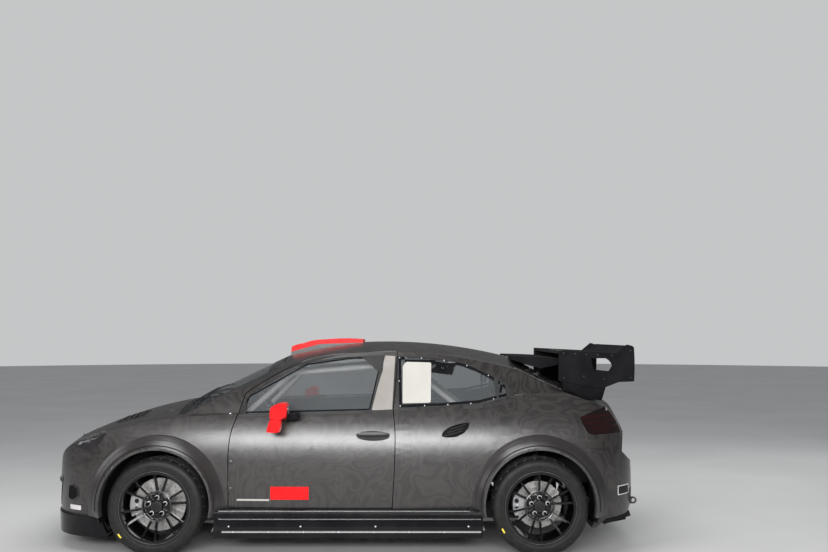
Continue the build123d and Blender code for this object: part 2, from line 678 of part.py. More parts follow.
KINGPIN_FOOT = (FRONT_AXLE_X, -700.0, 195.0)
KINGPIN_TOP = (FRONT_AXLE_X, -600.0, 856.0)
RIM_RADIUS = 229.0
RIM_LIP_RADIUS = 243.0
RIM_HALF_WIDTH = 109.0
FRONT_DISC_RADIUS = 178.0
REAR_DISC_RADIUS = 158.0
DISC_INBOARD = 40.0
DISC_HALF = 13.0
PAD_ROOM = 6.0
HUB_FACE = -12.0
SPINDLE_RADIUS = 21.0
BEARING_INNER = 62.0
BEARING_OUTER = 96.0
SPOKE_PAIRS = 6
SPOKE_SPREAD_RIM = 11.5
SPOKE_SPREAD_HUB = 8.0
SPOKE_WIDTH = 15.0
STRUT_RADIUS = 22.0
ARM_Z = 196.0
LEG_Y = 400.0
BOOT_FLOOR_Z = 430.0


def on_line(start, end, share):
    """Point part of the way from start to end."""
    return tuple(a + (b - a) * share for a, b in zip(start, end))


def kingpin_at(z):
    """Point of the steering axis at one height."""
    return on_line(KINGPIN_FOOT, KINGPIN_TOP, (z - KINGPIN_FOOT[2]) / (KINGPIN_TOP[2] - KINGPIN_FOOT[2]))


def wheel_ring(x, rows):
    """Turned piece of the left wheel, from rows of radius, distance inboard of its middle, and bulge."""
    return ring_about_wheel([(row[0], -WHEEL_Y + row[1]) + tuple(row[2:]) for row in rows], x, AXLE_Z)


def make_tyre(x):
    """Tyre with rounded shoulders."""
    half = TYRE_WIDTH / 2
    bead = RIM_HALF_WIDTH - 6.5
    rows = [(RIM_RADIUS + SEAT_GAP, -bead), (RIM_RADIUS + 18, -bead), (RIM_RADIUS + 34, -half, 3.0),
            (TYRE_RADIUS - 22, -half + 3, 7.0), (TYRE_RADIUS, -half + 28), (TYRE_RADIUS, half - 28, 7.0),
            (TYRE_RADIUS - 22, half - 3, 3.0), (RIM_RADIUS + 34, half), (RIM_RADIUS + 18, bead),
            (RIM_RADIUS + SEAT_GAP, bead)]
    return wheel_ring(x, rows)


def make_rim(x):
    """Wheel rim with its barrel, six pairs of spokes, hub and nuts."""
    lip = RIM_HALF_WIDTH
    barrel = wheel_ring(x, [(RIM_RADIUS - 9, -lip), (RIM_LIP_RADIUS, -lip), (RIM_LIP_RADIUS, -lip + 6),
                            (RIM_RADIUS, -lip + 6), (RIM_RADIUS, lip - 6), (RIM_LIP_RADIUS, lip - 6),
                            (RIM_LIP_RADIUS, lip), (RIM_RADIUS - 9, lip)])
    band = wheel_ring(x, [(30.0, HUB_FACE - 2), (30.0, -42.0), (105.0, -46.0), (RIM_RADIUS - 6, -100.0),
                          (RIM_RADIUS - 6, -72.0), (105.0, -20.0)])
    spokes = None
    for pair in range(SPOKE_PAIRS):
        for side in (-1, 1):
            base = math.radians(pair * 360 / SPOKE_PAIRS + side * SPOKE_SPREAD_HUB + 20)
            tip = math.radians(pair * 360 / SPOKE_PAIRS + side * SPOKE_SPREAD_RIM + 20)
            a = (x + 40 * math.cos(base), AXLE_Z + 40 * math.sin(base))
            b = (x + (RIM_RADIUS - 4) * math.cos(tip), AXLE_Z + (RIM_RADIUS - 4) * math.sin(tip))
            length = math.hypot(b[0] - a[0], b[1] - a[1])
            nx, nz = (b[1] - a[1]) / length, -(b[0] - a[0]) / length
            w = SPOKE_WIDTH / 2
            rows = [(a[0] - nx * w, a[1] - nz * w), (b[0] - nx * w, b[1] - nz * w),
                    (b[0] + nx * w, b[1] + nz * w), (a[0] + nx * w, a[1] + nz * w)]
            spoke = side_block(rows, -WHEEL_Y - lip, -WHEEL_Y + 10)
            spokes = spoke if spokes is None else spokes + spoke
    hub = wheel_ring(x, [(0.0, HUB_FACE), (0.0, -54.0), (38.0, -54.0), (42.0, -50.0), (42.0, -42.0),
                         (76.0, -42.0), (80.0, -38.0), (80.0, HUB_FACE)])
    ring = wheel_ring(x, [(92.0, -22.0), (92.0, -50.0), (102.0, -50.0), (102.0, -22.0)])
    rim = barrel + (band & spokes) + hub + ring
    for nut in range(5):
        angle = math.radians(nut * 72 + 90)
        nut_x = x + 58 * math.cos(angle)
        nut_z = AXLE_Z + 58 * math.sin(angle)
        rim += across(nut_x, nut_z, 11.0, -WHEEL_Y - 60, -WHEEL_Y - 41)
    return rim


def make_disc(x, radius):
    """Brake disc with its bell, hub and spindle, which turn with the wheel."""
    inner = DISC_INBOARD - DISC_HALF
    outer = DISC_INBOARD + DISC_HALF
    rows = [(0.0, HUB_FACE + SEAT_GAP), (78.0, HUB_FACE + SEAT_GAP), (78.0, inner), (radius, inner),
            (radius, outer), (70.0, outer), (70.0, 2.0), (SPINDLE_RADIUS, 2.0),
            (SPINDLE_RADIUS, BEARING_OUTER + 4), (0.0, BEARING_OUTER + 4)]
    return wheel_ring(x, rows)


def make_caliper(x, disc_radius):
    """Brake caliper astride the front edge of the disc."""
    rows = [(disc_radius - 62, DISC_INBOARD - 40), (disc_radius + 18, DISC_INBOARD - 40),
            (disc_radius + 18, DISC_INBOARD + 40), (disc_radius - 62, DISC_INBOARD + 40)]
    block = wheel_ring(x, rows)
    inner, outer = DISC_INBOARD - DISC_HALF - PAD_ROOM, DISC_INBOARD + DISC_HALF + PAD_ROOM
    slot = wheel_ring(x, [(disc_radius - 70, inner), (disc_radius + PAD_ROOM, inner),
                          (disc_radius + PAD_ROOM, outer), (disc_radius - 70, outer)])
    reach = disc_radius + 30
    wedge = side_block([(x - 20, AXLE_Z), (x - reach, AXLE_Z - 92), (x - reach, AXLE_Z + 92)], -WHEEL_Y - 20,
                       -WHEEL_Y + 90)
    return (block - slot) & wedge


def make_upright(x, disc_radius, foot, top):
    """Upright: bearing housing, arms to the ball joint and to the strut, and the caliper's bracket."""
    plate_in = -WHEEL_Y + BEARING_INNER
    plate_out = -WHEEL_Y + BEARING_OUTER
    plate = side_block([(x - 30, foot[2] + 40), (x - 52, AXLE_Z), (x - 24, top[2]), (x + 24, top[2]),
                        (x + 52, AXLE_Z), (x + 30, foot[2] + 40)], plate_in, plate_out - 8)
    boss = across(x, AXLE_Z, 56.0, plate_in, plate_out)
    bracket = side_block([(x - disc_radius + 20, AXLE_Z - 60), (x - disc_radius + 8, AXLE_Z - 60),
                          (x - disc_radius + 8, AXLE_Z + 60), (x - disc_radius + 20, AXLE_Z + 60),
                          (x - 20, AXLE_Z + 30), (x - 20, AXLE_Z - 30)],
                         -WHEEL_Y + DISC_INBOARD + 40 + SEAT_GAP, plate_out - 4)
    bore = across(x, AXLE_Z, SPINDLE_RADIUS + SEAT_GAP, plate_in - 20, plate_out + 20)
    return (plate + boss + bracket) - bore


def make_running_gear():
    """Wheels, uprights, struts, arms, subframes and drive shafts."""
    axles = (("front", FRONT_AXLE_X, FRONT_DISC_RADIUS), ("rear", REAR_AXLE_X, REAR_DISC_RADIUS))
    for end, x, radius in axles:
        keep_pair("tyre_" + end, make_tyre(x))
        keep_pair("wheel_" + end, group(make_rim(x), make_disc(x, radius)))
    strut_foot = kingpin_at(420.0)
    knuckle = make_upright(FRONT_AXLE_X, FRONT_DISC_RADIUS, kingpin_at(195.0), kingpin_at(470.0))
    knuckle += rod(kingpin_at(210.0), kingpin_at(250.0), 20.0)
    knuckle += rod(strut_foot, kingpin_at(640.0), STRUT_RADIUS)
    knuckle += box(FRONT_AXLE_X - 24, FRONT_AXLE_X + 24, -WHEEL_Y + BEARING_INNER, kingpin_at(445.0)[1],
                   424, 466)
    knuckle += rod(kingpin_at(630.0), kingpin_at(848.0), 14.0)
    knuckle += rod(kingpin_at(764.0), kingpin_at(772.0), 56.0)
    knuckle += rod(kingpin_at(838.0), kingpin_at(848.0), 48.0)
    keep_pair("knuckle", group(biggest(knuckle), make_caliper(FRONT_AXLE_X, FRONT_DISC_RADIUS)))

    front_z = ARM_Z
    arm = rod(on_line(KINGPIN_FOOT, KINGPIN_TOP, -0.02), on_line(KINGPIN_FOOT, KINGPIN_TOP, 0.0221), 20.0)
    for dx in (-170.0, 90.0):
        outer_end = (FRONT_AXLE_X, KINGPIN_FOOT[1] + 4, KINGPIN_FOOT[2] - 8)
        arm += rod(outer_end, (front(dx), -330.0, front_z), 12.0)
        arm += rod((front(dx - 30), -330.0, front_z), (front(dx + 30), -330.0, front_z), 24.0)
    legs = box(front(-640.0), front(159.0), -LEG_Y - 34, -LEG_Y + 34, 380, 470)
    for dx in (-230.0, 110.0):
        legs += box(front(dx - 25), front(dx + 25), -LEG_Y - 25, -LEG_Y + 25, front_z - 20, 400)
        legs += box(front(dx - 25), front(dx + 25), -LEG_Y - 25, -250, front_z - 20, front_z + 20)
    rail = box(front(-285.0), front(145.0), -312, -240, front_z - 26, front_z + 26)
    half = arm + legs + rail
    frame = half + mirrored(half)
    for dx in (-230.0, 110.0):
        frame += box(front(dx - 30), front(dx + 30), -250, 250, front_z - 24, front_z + 24)
    frame += box(front(-640.0), front(-600.0), -LEG_Y, LEG_Y, 385, 465)
    eye, slot = tow_eye("front", front(-610.0))
    keep("front_subframe", biggest(frame + eye))
    keep("grille", biggest(PARTS["grille"] - slot))

    rear_z = ARM_Z + 16
    upright = make_upright(REAR_AXLE_X, REAR_DISC_RADIUS, (0, 0, 195.0), (0, 0, 470.0))
    foot, top = (REAR_AXLE_X, -680.0, 420.0), (REAR_AXLE_X, -600.0, 731.0)
    upright += rod(foot, top, STRUT_RADIUS)
    upright += rod((REAR_AXLE_X, -690.0, 195.0), (REAR_AXLE_X, -690.0, 260.0), 20.0)
    for dx in (-150.0, 150.0):
        upright += rod((REAR_AXLE_X, -690.0, rear_z), (rear(dx), -330.0, rear_z), 14.0)
        upright += rod((rear(dx - 30), -330.0, rear_z), (rear(dx + 30), -330.0, rear_z), 26.0)
    upright += box(rear(-260.0), rear(260.0), -312, -240, rear_z - 26, rear_z + 26)
    upright += across(REAR_AXLE_X, AXLE_Z, 20.0, -650, -130)
    frame = upright + mirrored(upright)
    for cross in (-200.0, 200.0):
        frame += box(rear(cross - 30), rear(cross + 30), -250, 250, rear_z - 24, rear_z + 24)
    frame += box(rear(-175.0), rear(175.0), -140, 140, rear_z, 400)
    for dx in (-200.0, 200.0):
        frame += box(rear(dx - 30), rear(dx + 30), -140, 140, rear_z, 300)
        frame += box(rear(dx - 30), rear(dx + 30), -100, 100, rear_z, BOOT_FLOOR_Z - SEAT_GAP)
    frame += box(rear(225.0), rear(265.0), -TOW_EYES["rear"].side - 6, -240, rear_z - 26, rear_z + 26)
    frame += box(rear(225.0), rear(265.0), -TOW_EYES["rear"].side - 6, -TOW_EYES["rear"].side + 40, rear_z,
                 330)
    eye, slot = tow_eye("rear", rear(240.0))
    frame += eye
    keep("rear_bumper", biggest(PARTS["rear_bumper"] - slot))
    caliper = make_caliper(REAR_AXLE_X, REAR_DISC_RADIUS)
    keep("rear_subframe", group(biggest(frame), caliper, mirrored(caliper)))

    engine = box(front(-250.0), front(150.0), -300, 300, front_z + 26 + SEAT_GAP, 770)
    engine = fillet(engine.edges().filter_by(Axis.Z), 25.0)
    for side in (-1, 1):
        engine += across(FRONT_AXLE_X, AXLE_Z, 20.0, side * 290, side * 640)
        engine += across(FRONT_AXLE_X, AXLE_Z, 42.0, side * 570, side * 640)
    keep("engine", engine)


class TowEye:
    """Where a towing eye stands and how large it is."""

    def __init__(self, x, side, z, bore_radius, tip_radius):
        self.x = x
        self.side = side
        self.z = z
        self.bore_radius = bore_radius
        self.tip_radius = tip_radius


TOW_EYES = {
    "front": TowEye(-2070.0, 300.0, 425.0, 16.0, 29.0),
    "rear": TowEye(2077.0, 470.0, 300.0, 13.0, 24.0),
}
TOW_EYE_THICKNESS = 12.0


def tow_eye(end, root_x):
    """Towing eye plate out of the bumper, and the slot it passes through."""
    eye = TOW_EYES[end]
    inner, outer = -eye.side + TOW_EYE_THICKNESS / 2, -eye.side - TOW_EYE_THICKNESS / 2
    low, high = eye.z - eye.tip_radius, eye.z + eye.tip_radius
    shank = box(min(eye.x, root_x), max(eye.x, root_x), outer, inner, low, high)
    plate = shank + across(eye.x, eye.z, eye.tip_radius, outer, inner)
    plate = plate - across(eye.x, eye.z, eye.bore_radius, outer - 5, inner + 5)
    slot = box(min(eye.x, root_x), max(eye.x, root_x), outer - SEAT_GAP, inner + SEAT_GAP, low - SEAT_GAP,
               high + SEAT_GAP)
    return plate, slot


def group(*shapes):
    """Several solids that share a node without touching."""
    return Compound([solid for shape in shapes for solid in shape.solids()])


# Trim and cabin

TOWER_HALF = 76.0
TOWER_TOP_Z = 866.0
JACK_X = (front(560.0), rear(-560.0))
JACK_Y = 725.0
JACK_Z = 134.0
JACK_LENGTH = 90.0
JACK_WIDTH = 60.0
SKIRT_ROWS = (
    (-898.0, 128.0, 0.0),
    (-904.0, 172.0, 3.0),
    (-888.0, 296.0, 3.0),
    (-872.0, 312.0, 0.0),
    (-780.0, 312.0, 0.0),
    (-780.0, 142.0, 0.0),
    (-860.0, 128.0, 0.0),
)
SPLITTER_TOP_Z = 240.0
SPLITTER_FOOT_Z = 104.0
WING_SPAN = 640.0
WING_PLATE_ROWS = (
    (rear(166.0), 1160.0, 0.0),
    (rear(170.0), 1372.0, 0.0),
    (rear(578.0), 1352.0, 0.0),
    (rear(650.0), 1412.0, 4.0),
    (rear(700.0), 1392.0, 4.0),
    (rear(697.0), 1154.0, 0.0),
    (rear(590.0), 1150.0, 0.0),
    (rear(470.0), 1104.0, 0.0),
)
WING_FOOT_ROWS = (
    (rear(200.0), 1050.0, 0.0),
    (rear(200.0), 1196.0, 0.0),
    (rear(520.0), 1180.0, 0.0),
    (rear(470.0), 1020.0, 0.0),
)
WING_FOOT_INNER_Y = 530.0
WING_FOOT_OUTER_Y = 585.0
WING_WINDOW_ROWS = (
    (rear(412.0), 1238.0, 0.0),
    (rear(398.0), 1316.0, 0.0),
    (rear(500.0), 1316.0, 8.0),
    (rear(545.0), 1262.0, 0.0),
    (rear(520.0), 1226.0, 0.0),
)
WING_PLANE_ROWS = (
    (rear(180.0), 1348.0, 14.0),
    (rear(560.0), 1346.0, -10.0),
    (rear(692.0), 1404.0, 2.0),
    (rear(694.0), 1396.0, 14.0),
    (rear(560.0), 1330.0, -6.0),
)
SPOILER_ROWS = (
    (rear(-138.0), 1300.0, 0.0),
    (rear(-132.0), 1326.0, 4.0),
    (rear(300.0), 1306.0, 0.0),
    (rear(304.0), 1292.0, 0.0),
    (rear(60.0), 1240.0, 0.0),
)
SCOOP_ROWS = (
    (front(800.0), 1300.0, 0.0),
    (front(808.0), 1392.0, 4.0),
    (front(900.0), 1418.0, 8.0),
    (front(1060.0), 1446.0, 8.0),
    (front(1350.0), 1446.0, 0.0),
    (front(1352.0), 1300.0, 0.0),
)
SEAT_HALF = 250.0
SEAT_WING = 36.0
SEAT_ROWS = (
    (rear(-1650.0), 215.0, 0.0),
    (rear(-1680.0), 380.0, 10.0),
    (rear(-1540.0), 420.0, -30.0),
    (rear(-1290.0), 470.0, -60.0),
    (rear(-1160.0), 900.0, -20.0),
    (rear(-1100.0), 1040.0, 12.0),
    (rear(-1015.0), 1030.0, 0.0),
    (rear(-1150.0), 300.0, 40.0),
    (rear(-1240.0), 215.0, 0.0),
)
SEAT_HOLLOW_ROWS = (
    (rear(-1750.0), 345.0, 0.0),
    (rear(-1750.0), 1100.0, 0.0),
    (rear(-1070.0), 1100.0, 0.0),
    (rear(-1090.0), 980.0, -10.0),
    (rear(-1215.0), 360.0, 40.0),
    (rear(-1290.0), 300.0, -8.0),
)
MIRROR_HEAD_ROWS = (
    (front(788.0), 925.0, 6.0),
    (front(792.0), 1000.0, 10.0),
    (front(880.0), 1026.0, 8.0),
    (front(905.0), 960.0, 6.0),
    (front(850.0), 920.0, 2.0),
)
MIRROR_BLADE_ROWS = (
    (front(762.0), 838.0, 3.0),
    (front(790.0), 930.0, 0.0),
    (front(858.0), 930.0, 3.0),
    (front(846.0), 838.0, 4.0),
)


def make_trim(shell):
    """Splitter, skirts, diffuser, wing, roof scoop and mirrors."""
    wires = []
    for z, reach in ((SPLITTER_FOOT_Z, 8.0), (SPLITTER_TOP_Z, 0.0)):
        wires.append(plan_wire(z, NOSE_X + reach, 872.0 - reach, rear(700.0), 440.0, 380.0, BODY_WIDEST_X,
                               BODY_SIDE_RADIUS, NOSE_RADIUS, TAIL_RADIUS, 0.0))
    lip = Solid.make_loft(wires, False) & box(-3000, BUMPER_SEAM_X - 30, -1500, 1500, 0, 1000)
    lip = lip - body_master(PANEL_THICKNESS) - shell.lower_flared - wheel_openings()
    keep("splitter", biggest(lip))

    skirt = front_block(SKIRT_ROWS, front(398.0), rear(-388.0)) - shell.lower_flared
    skirt = biggest(skirt - wheel_openings())
    keep("side_skirts", group(skirt, mirrored(skirt)))

    diffuser_rows = ((rear(472.0), 160.0), (rear(542.0), 221.9), (rear(678.0), 236.4), (rear(690.0), 200.0),
                     (rear(500.0), 140.0))
    diffuser = side_block(diffuser_rows, -520, 520) - shell.lower_flared
    for y in (-400, -200, 0, 200, 400):
        diffuser += side_block(((rear(500.0), 142.0), (rear(688.0), 201.0), (rear(680.0), 150.0),
                                (rear(520.0), 118.0)), y - 5, y + 5)
    keep("diffuser", biggest(diffuser))

    plate = side_block(WING_PLATE_ROWS, -WING_SPAN - 14, -WING_SPAN)
    plate = plate - side_block(WING_WINDOW_ROWS, -800, -500)
    plane = side_block(WING_PLANE_ROWS, -WING_SPAN, WING_SPAN)
    wing = plane + plate + mirrored(plate)
    spoiler = side_block(SPOILER_ROWS, -500, 500) - shell.whole
    spoiler = spoiler - pin_room(TAILGATE_HINGE, TAILGATE_HINGE_Y, ROOF_REAR_X - 3, ROOF_REAR_X + 30)
    leg = side_block(((rear(330.0), 1030.0), (rear(330.0), 1345.0), (rear(470.0), 1345.0),
                      (rear(520.0), 1000.0)), -300, -288)
    leg = leg - shell.whole
    wing = wing + leg + mirrored(leg)
    foot = side_block(WING_FOOT_ROWS, -WING_SPAN, -WING_FOOT_INNER_Y) - shell.whole
    foot = foot - (shell.clear_of & box(0, 3000, -1000, -WING_FOOT_OUTER_Y, 800, 1500))
    wing = wing + foot + mirrored(foot)
    keep("rear_wing", group(biggest(wing), biggest(spoiler)))

    scoop = side_block(SCOOP_ROWS, -150, 150) - shell.whole
    mouth = side_block(moved_in(SCOOP_ROWS, 12.0), -138, 138)
    mouth = mouth & box(front(700.0), front(1200.0), -200, 200, 1300, 1500)
    mouth_front = box(front(700.0), front(1000.0), -138, 138, 1385, 1412)
    keep("roof_scoop", biggest(scoop - (mouth - shell.whole) - mouth_front))

    head = side_block(MIRROR_HEAD_ROWS, -1010, -880)
    blade = side_block(MIRROR_BLADE_ROWS, -1000, -925)
    arm = side_block(((front(870.0), 905.0), (front(870.0), 950.0), (front(960.0), 958.0),
                      (front(960.0), 914.0)), -900, -700)
    keep_pair("mirror", biggest(head + blade + arm - shell.whole))


CAGE_RADIUS = 20.0
MAIN_HOOP_X = rear(-925.0)
MAIN_HOOP_HALF = 500.0
FRONT_HOOP_X = front(860.0)
FRONT_HOOP_HALF = 436.0


def cage_half():
    """Left half of the roll cage: main hoop, front leg, roof bar, side bars and rear stay."""
    foot = (MAIN_HOOP_X, -640.0, 178.0)
    belt = (MAIN_HOOP_X, -690.0, 800.0)
    top = (MAIN_HOOP_X, -MAIN_HOOP_HALF, 1270.0)
    front_top = (FRONT_HOOP_X, -FRONT_HOOP_HALF, 1205.0)
    front_belt = (front(545.0), -620.0, 915.0)
    front_foot = (front(545.0), -620.0, 178.0)
    half = tube_run([foot, belt, top, front_top, front_belt, front_foot], CAGE_RADIUS)
    half += rod(top, (rear(-260.0), -540.0, 760.0), CAGE_RADIUS)
    half += Pos(*top) * Sphere(CAGE_RADIUS)
    half += rod((MAIN_HOOP_X, -668.0, 520.0), (front(560.0), -620.0, 420.0), CAGE_RADIUS)
    half += rod((MAIN_HOOP_X, -655.0, 380.0), (front(560.0), -620.0, 560.0), CAGE_RADIUS)
    return half


def make_cabin(shell):
    """Wheel housings, floor, seats, dashboard, steering wheel, roll cage and exhaust."""
    housings = []
    for x in (FRONT_AXLE_X, REAR_AXLE_X):
        z = AXLE_Z + ARCH_RISE
        outer = HOUSING_RADIUS - SEAT_GAP
        shell_ring = ring_about_wheel(((outer - HOUSING_WALL, -LIP_Y + SEAT_GAP), (outer, -LIP_Y + SEAT_GAP),
                                       (outer, -HOUSING_INNER_Y - SEAT_GAP),
                                       (outer - HOUSING_WALL, -HOUSING_INNER_Y - SEAT_GAP)), x, z)
        wall = across(x, z, outer, -HOUSING_INNER_Y - SEAT_GAP - HOUSING_WALL, -HOUSING_INNER_Y - SEAT_GAP)
        wall = wall & box(x - 500, x + 500, -1000, 0, 430, 1000)
        ring = shell_ring & box(x - 500, x + 500, -1000, 0, FLOOR_TOP_Z + 4, 1000)
        housing = ring + wall
        if x == FRONT_AXLE_X:
            y = kingpin_at(745.0)[1]
            inner = TOWER_HALF - HOUSING_WALL
            hollow = box(x - inner, x + inner, y - inner, y + inner, 600, TOWER_TOP_Z - HOUSING_WALL)
            tower = box(x - TOWER_HALF, x + TOWER_HALF, y - TOWER_HALF, y + TOWER_HALF, 700, TOWER_TOP_Z)
            tower = tower - across(x, z, outer - 3, -1000, 0) - hollow
            housing = (housing - hollow) + tower
        housings.append(biggest(housing))
    keep("wheel_housings", group(*housings, *[mirrored(piece) for piece in housings]))

    boot_half = SIDE_INNER_Y - SEAT_GAP
    boot = box(rear(-470.0), rear(560.0), -boot_half, boot_half, BOOT_FLOOR_Z, BOOT_FLOOR_Z + 14)
    boot += box(rear(-470.0), rear(-456.0), -boot_half, boot_half, 165, BOOT_FLOOR_Z + 14)
    floor = PARTS["floor_pan"] + (boot & shell.panel_core)
    for x in JACK_X:
        for y in (-JACK_Y, JACK_Y):
            floor += box(x - JACK_LENGTH / 2, x + JACK_LENGTH / 2, y - JACK_WIDTH / 2, y + JACK_WIDTH / 2,
                         JACK_Z, 166)
    keep("floor_pan", biggest(floor))

    dash = side_block(((front(300.0), 700.0), (front(260.0), 900.0, 20.0), (front(520.0), 880.0, 12.0),
                       (front(560.0), 780.0), (front(500.0), 690.0)), -700, 700)
    dash = dash & shell.side_core & box(-3000, 3000, -600, 600, 0, 2000)
    for y in (-300.0, 300.0):
        dash += box(front(178.0) + SEAT_GAP, front(320.0), y - 15, y + 15, 770, 830)
    keep("dashboard", biggest(dash))

    seats = []
    for y in (-360.0, 360.0):
        seat = side_block(SEAT_ROWS, y - SEAT_HALF, y + SEAT_HALF)
        seat = seat - side_block(SEAT_HOLLOW_ROWS, y - SEAT_HALF + SEAT_WING, y + SEAT_HALF - SEAT_WING)
        for dy in (-170.0, 170.0):
            seat += box(rear(-1600.0), rear(-1200.0), y + dy - 8, y + dy + 8, 150, 230)
        seats.append(biggest(seat - PARTS["floor_pan"]))
    keep("seats", group(*seats))

    column_foot = (front(440.0), -360.0, 760.0)
    column_top = (front(700.0), -360.0, 900.0)
    plane = Plane(origin=column_top, z_dir=Vector(*column_top) - Vector(*column_foot))
    wheel = plane * Torus(165.0, 15.0)
    wheel += rod(column_foot, column_top, 18.0)
    for turn in (0, 120, 240):
        wheel += plane * (Rot(0, 0, turn + 30) * (Pos(82, 0, 0) * Box(164, 26, 8)))
    dash_bore = rod(on_line(column_foot, column_top, -1.0), column_top, 19.0)
    keep("dashboard", biggest(PARTS["dashboard"] - dash_bore))
    keep("steering_wheel", wheel)

    cage = cage_half() + mirrored(cage_half())
    for x, half_width, z in ((MAIN_HOOP_X, MAIN_HOOP_HALF, 1270.0), (FRONT_HOOP_X, FRONT_HOOP_HALF, 1205.0)):
        cage += rod((x, -half_width, z), (x, half_width, z), CAGE_RADIUS)
    cage += rod((MAIN_HOOP_X, -610.0, 420.0), (MAIN_HOOP_X, MAIN_HOOP_HALF, 1270.0), CAGE_RADIUS)
    keep("roll_cage", biggest(cage))

    muffler = box(rear(330.0), rear(520.0), 60, 440, 250, 400)
    muffler = fillet(muffler.edges().filter_by(Axis.Y), 50.0)
    pipe = rod((rear(400.0), 330.0, 320.0), (rear(REAR_OVERHANG - 16), 330.0, 320.0), 36.0)
    inlet = rod((rear(300.0), 200.0, 320.0), (rear(340.0), 200.0, 320.0), 30.0)
    bore = rod((rear(450.0), 330.0, 320.0), (rear(900.0), 330.0, 320.0), 31.0)
    keep("exhaust", biggest(muffler + pipe + inlet - bore))
    hole = rod((rear(600.0), 330.0, 320.0), (rear(900.0), 330.0, 320.0), 36.0 + SEAT_GAP)
    keep("rear_bumper", biggest(PARTS["rear_bumper"] - hole))


def main():
    """Builds every piece and writes it."""
    os.makedirs("parts", exist_ok=True)
    shell = Shell()
    make_body(shell)
    make_running_gear()
    make_trim(shell)
    make_cabin(shell)
    for name, shape in PARTS.items():
        export_step(shape, "parts/" + name + ".step")
        size = shape.bounding_box()
        print(name, round(shape.volume / 1e3), len(shape.solids()), shape.is_valid,
              [round(v) for v in (size.min.X, size.min.Y, size.min.Z, size.max.X, size.max.Y, size.max.Z)])
    print("written", len(PARTS))


if __name__ == "__main__":
    main()
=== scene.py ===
"""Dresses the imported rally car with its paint, glass, wheels, lamps, trim and cabin, in a plain studio.

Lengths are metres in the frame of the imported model: X points to the tail, Y to the car's right side,
Z up, and the ground is at Z = 0.
"""

import json
import logging
import math
from dataclasses import dataclass
from enum import Enum
from typing import Callable, Iterable, Sequence

import bmesh
import bpy
from bmesh.types import BMesh
from mathutils import Matrix, Vector
from mathutils.bvhtree import BVHTree

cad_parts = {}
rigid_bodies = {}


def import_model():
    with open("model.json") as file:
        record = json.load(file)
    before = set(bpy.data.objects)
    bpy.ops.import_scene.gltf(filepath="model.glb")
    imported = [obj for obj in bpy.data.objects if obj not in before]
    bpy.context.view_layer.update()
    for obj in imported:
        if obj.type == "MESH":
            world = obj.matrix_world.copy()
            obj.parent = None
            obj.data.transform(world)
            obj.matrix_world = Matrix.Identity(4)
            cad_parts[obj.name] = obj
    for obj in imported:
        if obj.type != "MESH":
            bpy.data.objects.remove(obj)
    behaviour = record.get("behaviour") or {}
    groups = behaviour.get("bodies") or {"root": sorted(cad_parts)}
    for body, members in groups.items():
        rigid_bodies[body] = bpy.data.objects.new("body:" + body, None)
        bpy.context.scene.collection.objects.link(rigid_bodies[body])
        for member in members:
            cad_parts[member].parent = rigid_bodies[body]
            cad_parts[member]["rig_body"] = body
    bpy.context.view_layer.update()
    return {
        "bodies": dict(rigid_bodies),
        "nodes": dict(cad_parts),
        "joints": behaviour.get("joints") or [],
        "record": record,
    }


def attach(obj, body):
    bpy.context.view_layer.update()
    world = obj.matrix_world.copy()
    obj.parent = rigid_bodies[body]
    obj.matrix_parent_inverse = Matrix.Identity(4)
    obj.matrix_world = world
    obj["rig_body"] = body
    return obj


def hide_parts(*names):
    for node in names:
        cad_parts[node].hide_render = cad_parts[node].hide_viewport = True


LOG = logging.getLogger("rally_car")
FRONT_AXLE_X = -1.2315
REAR_AXLE_X = 1.3565
AXLE_Z = 0.325
WHEEL_Y = 0.785
ARCH_RISE = 0.012
LEFT = -1
RIGHT = 1
SIDE_NAMES = {LEFT: "left", RIGHT: "right"}
Colour = tuple[float, float, float]
Outline = Sequence[tuple[float, float]]


def fill(tree: bpy.types.NodeTree, node: bpy.types.Node, inputs: dict) -> None:
    """Sets a shader node's inputs.

    Args:
        tree: Tree that holds the node.
        node: The node.
        inputs: Values or sockets for its inputs, by name or number.
    """
    for key, value in inputs.items():
        if isinstance(value, bpy.types.NodeSocket):
            tree.links.new(value, node.inputs[key])
        else:
            node.inputs[key].default_value = value


def new_node(tree: bpy.types.NodeTree, kind: str, inputs: dict, operation: str = "") -> bpy.types.Node:
    """Adds a shader node.

    Args:
        tree: Tree that it joins.
        kind: Its kind.
        inputs: Values or sockets for its inputs, by name or number.
        operation: What a Math node does.

    Returns:
        The node.
    """
    made = tree.nodes.new("ShaderNode" + kind)
    if operation:
        made.operation = operation
    fill(tree, made, inputs)
    return made


def noise(tree: bpy.types.NodeTree, place: bpy.types.NodeSocket, scale: float, detail: float,
          distortion: float) -> bpy.types.NodeSocket:
    """The value of a noise texture at some place, by its scale, its octaves and how far it is pulled."""
    inputs = {"Vector": place, "Scale": scale, "Detail": detail, "Distortion": distortion}
    return new_node(tree, "TexNoise", inputs).outputs["Fac"]


class Pattern(Enum):
    """How the colour of a finish varies over a surface."""

    SWIRLED = "swirled"
    CLOUDED = "clouded"
    BRUSHED = "brushed"
    WOVEN = "woven"
    CAST = "cast"


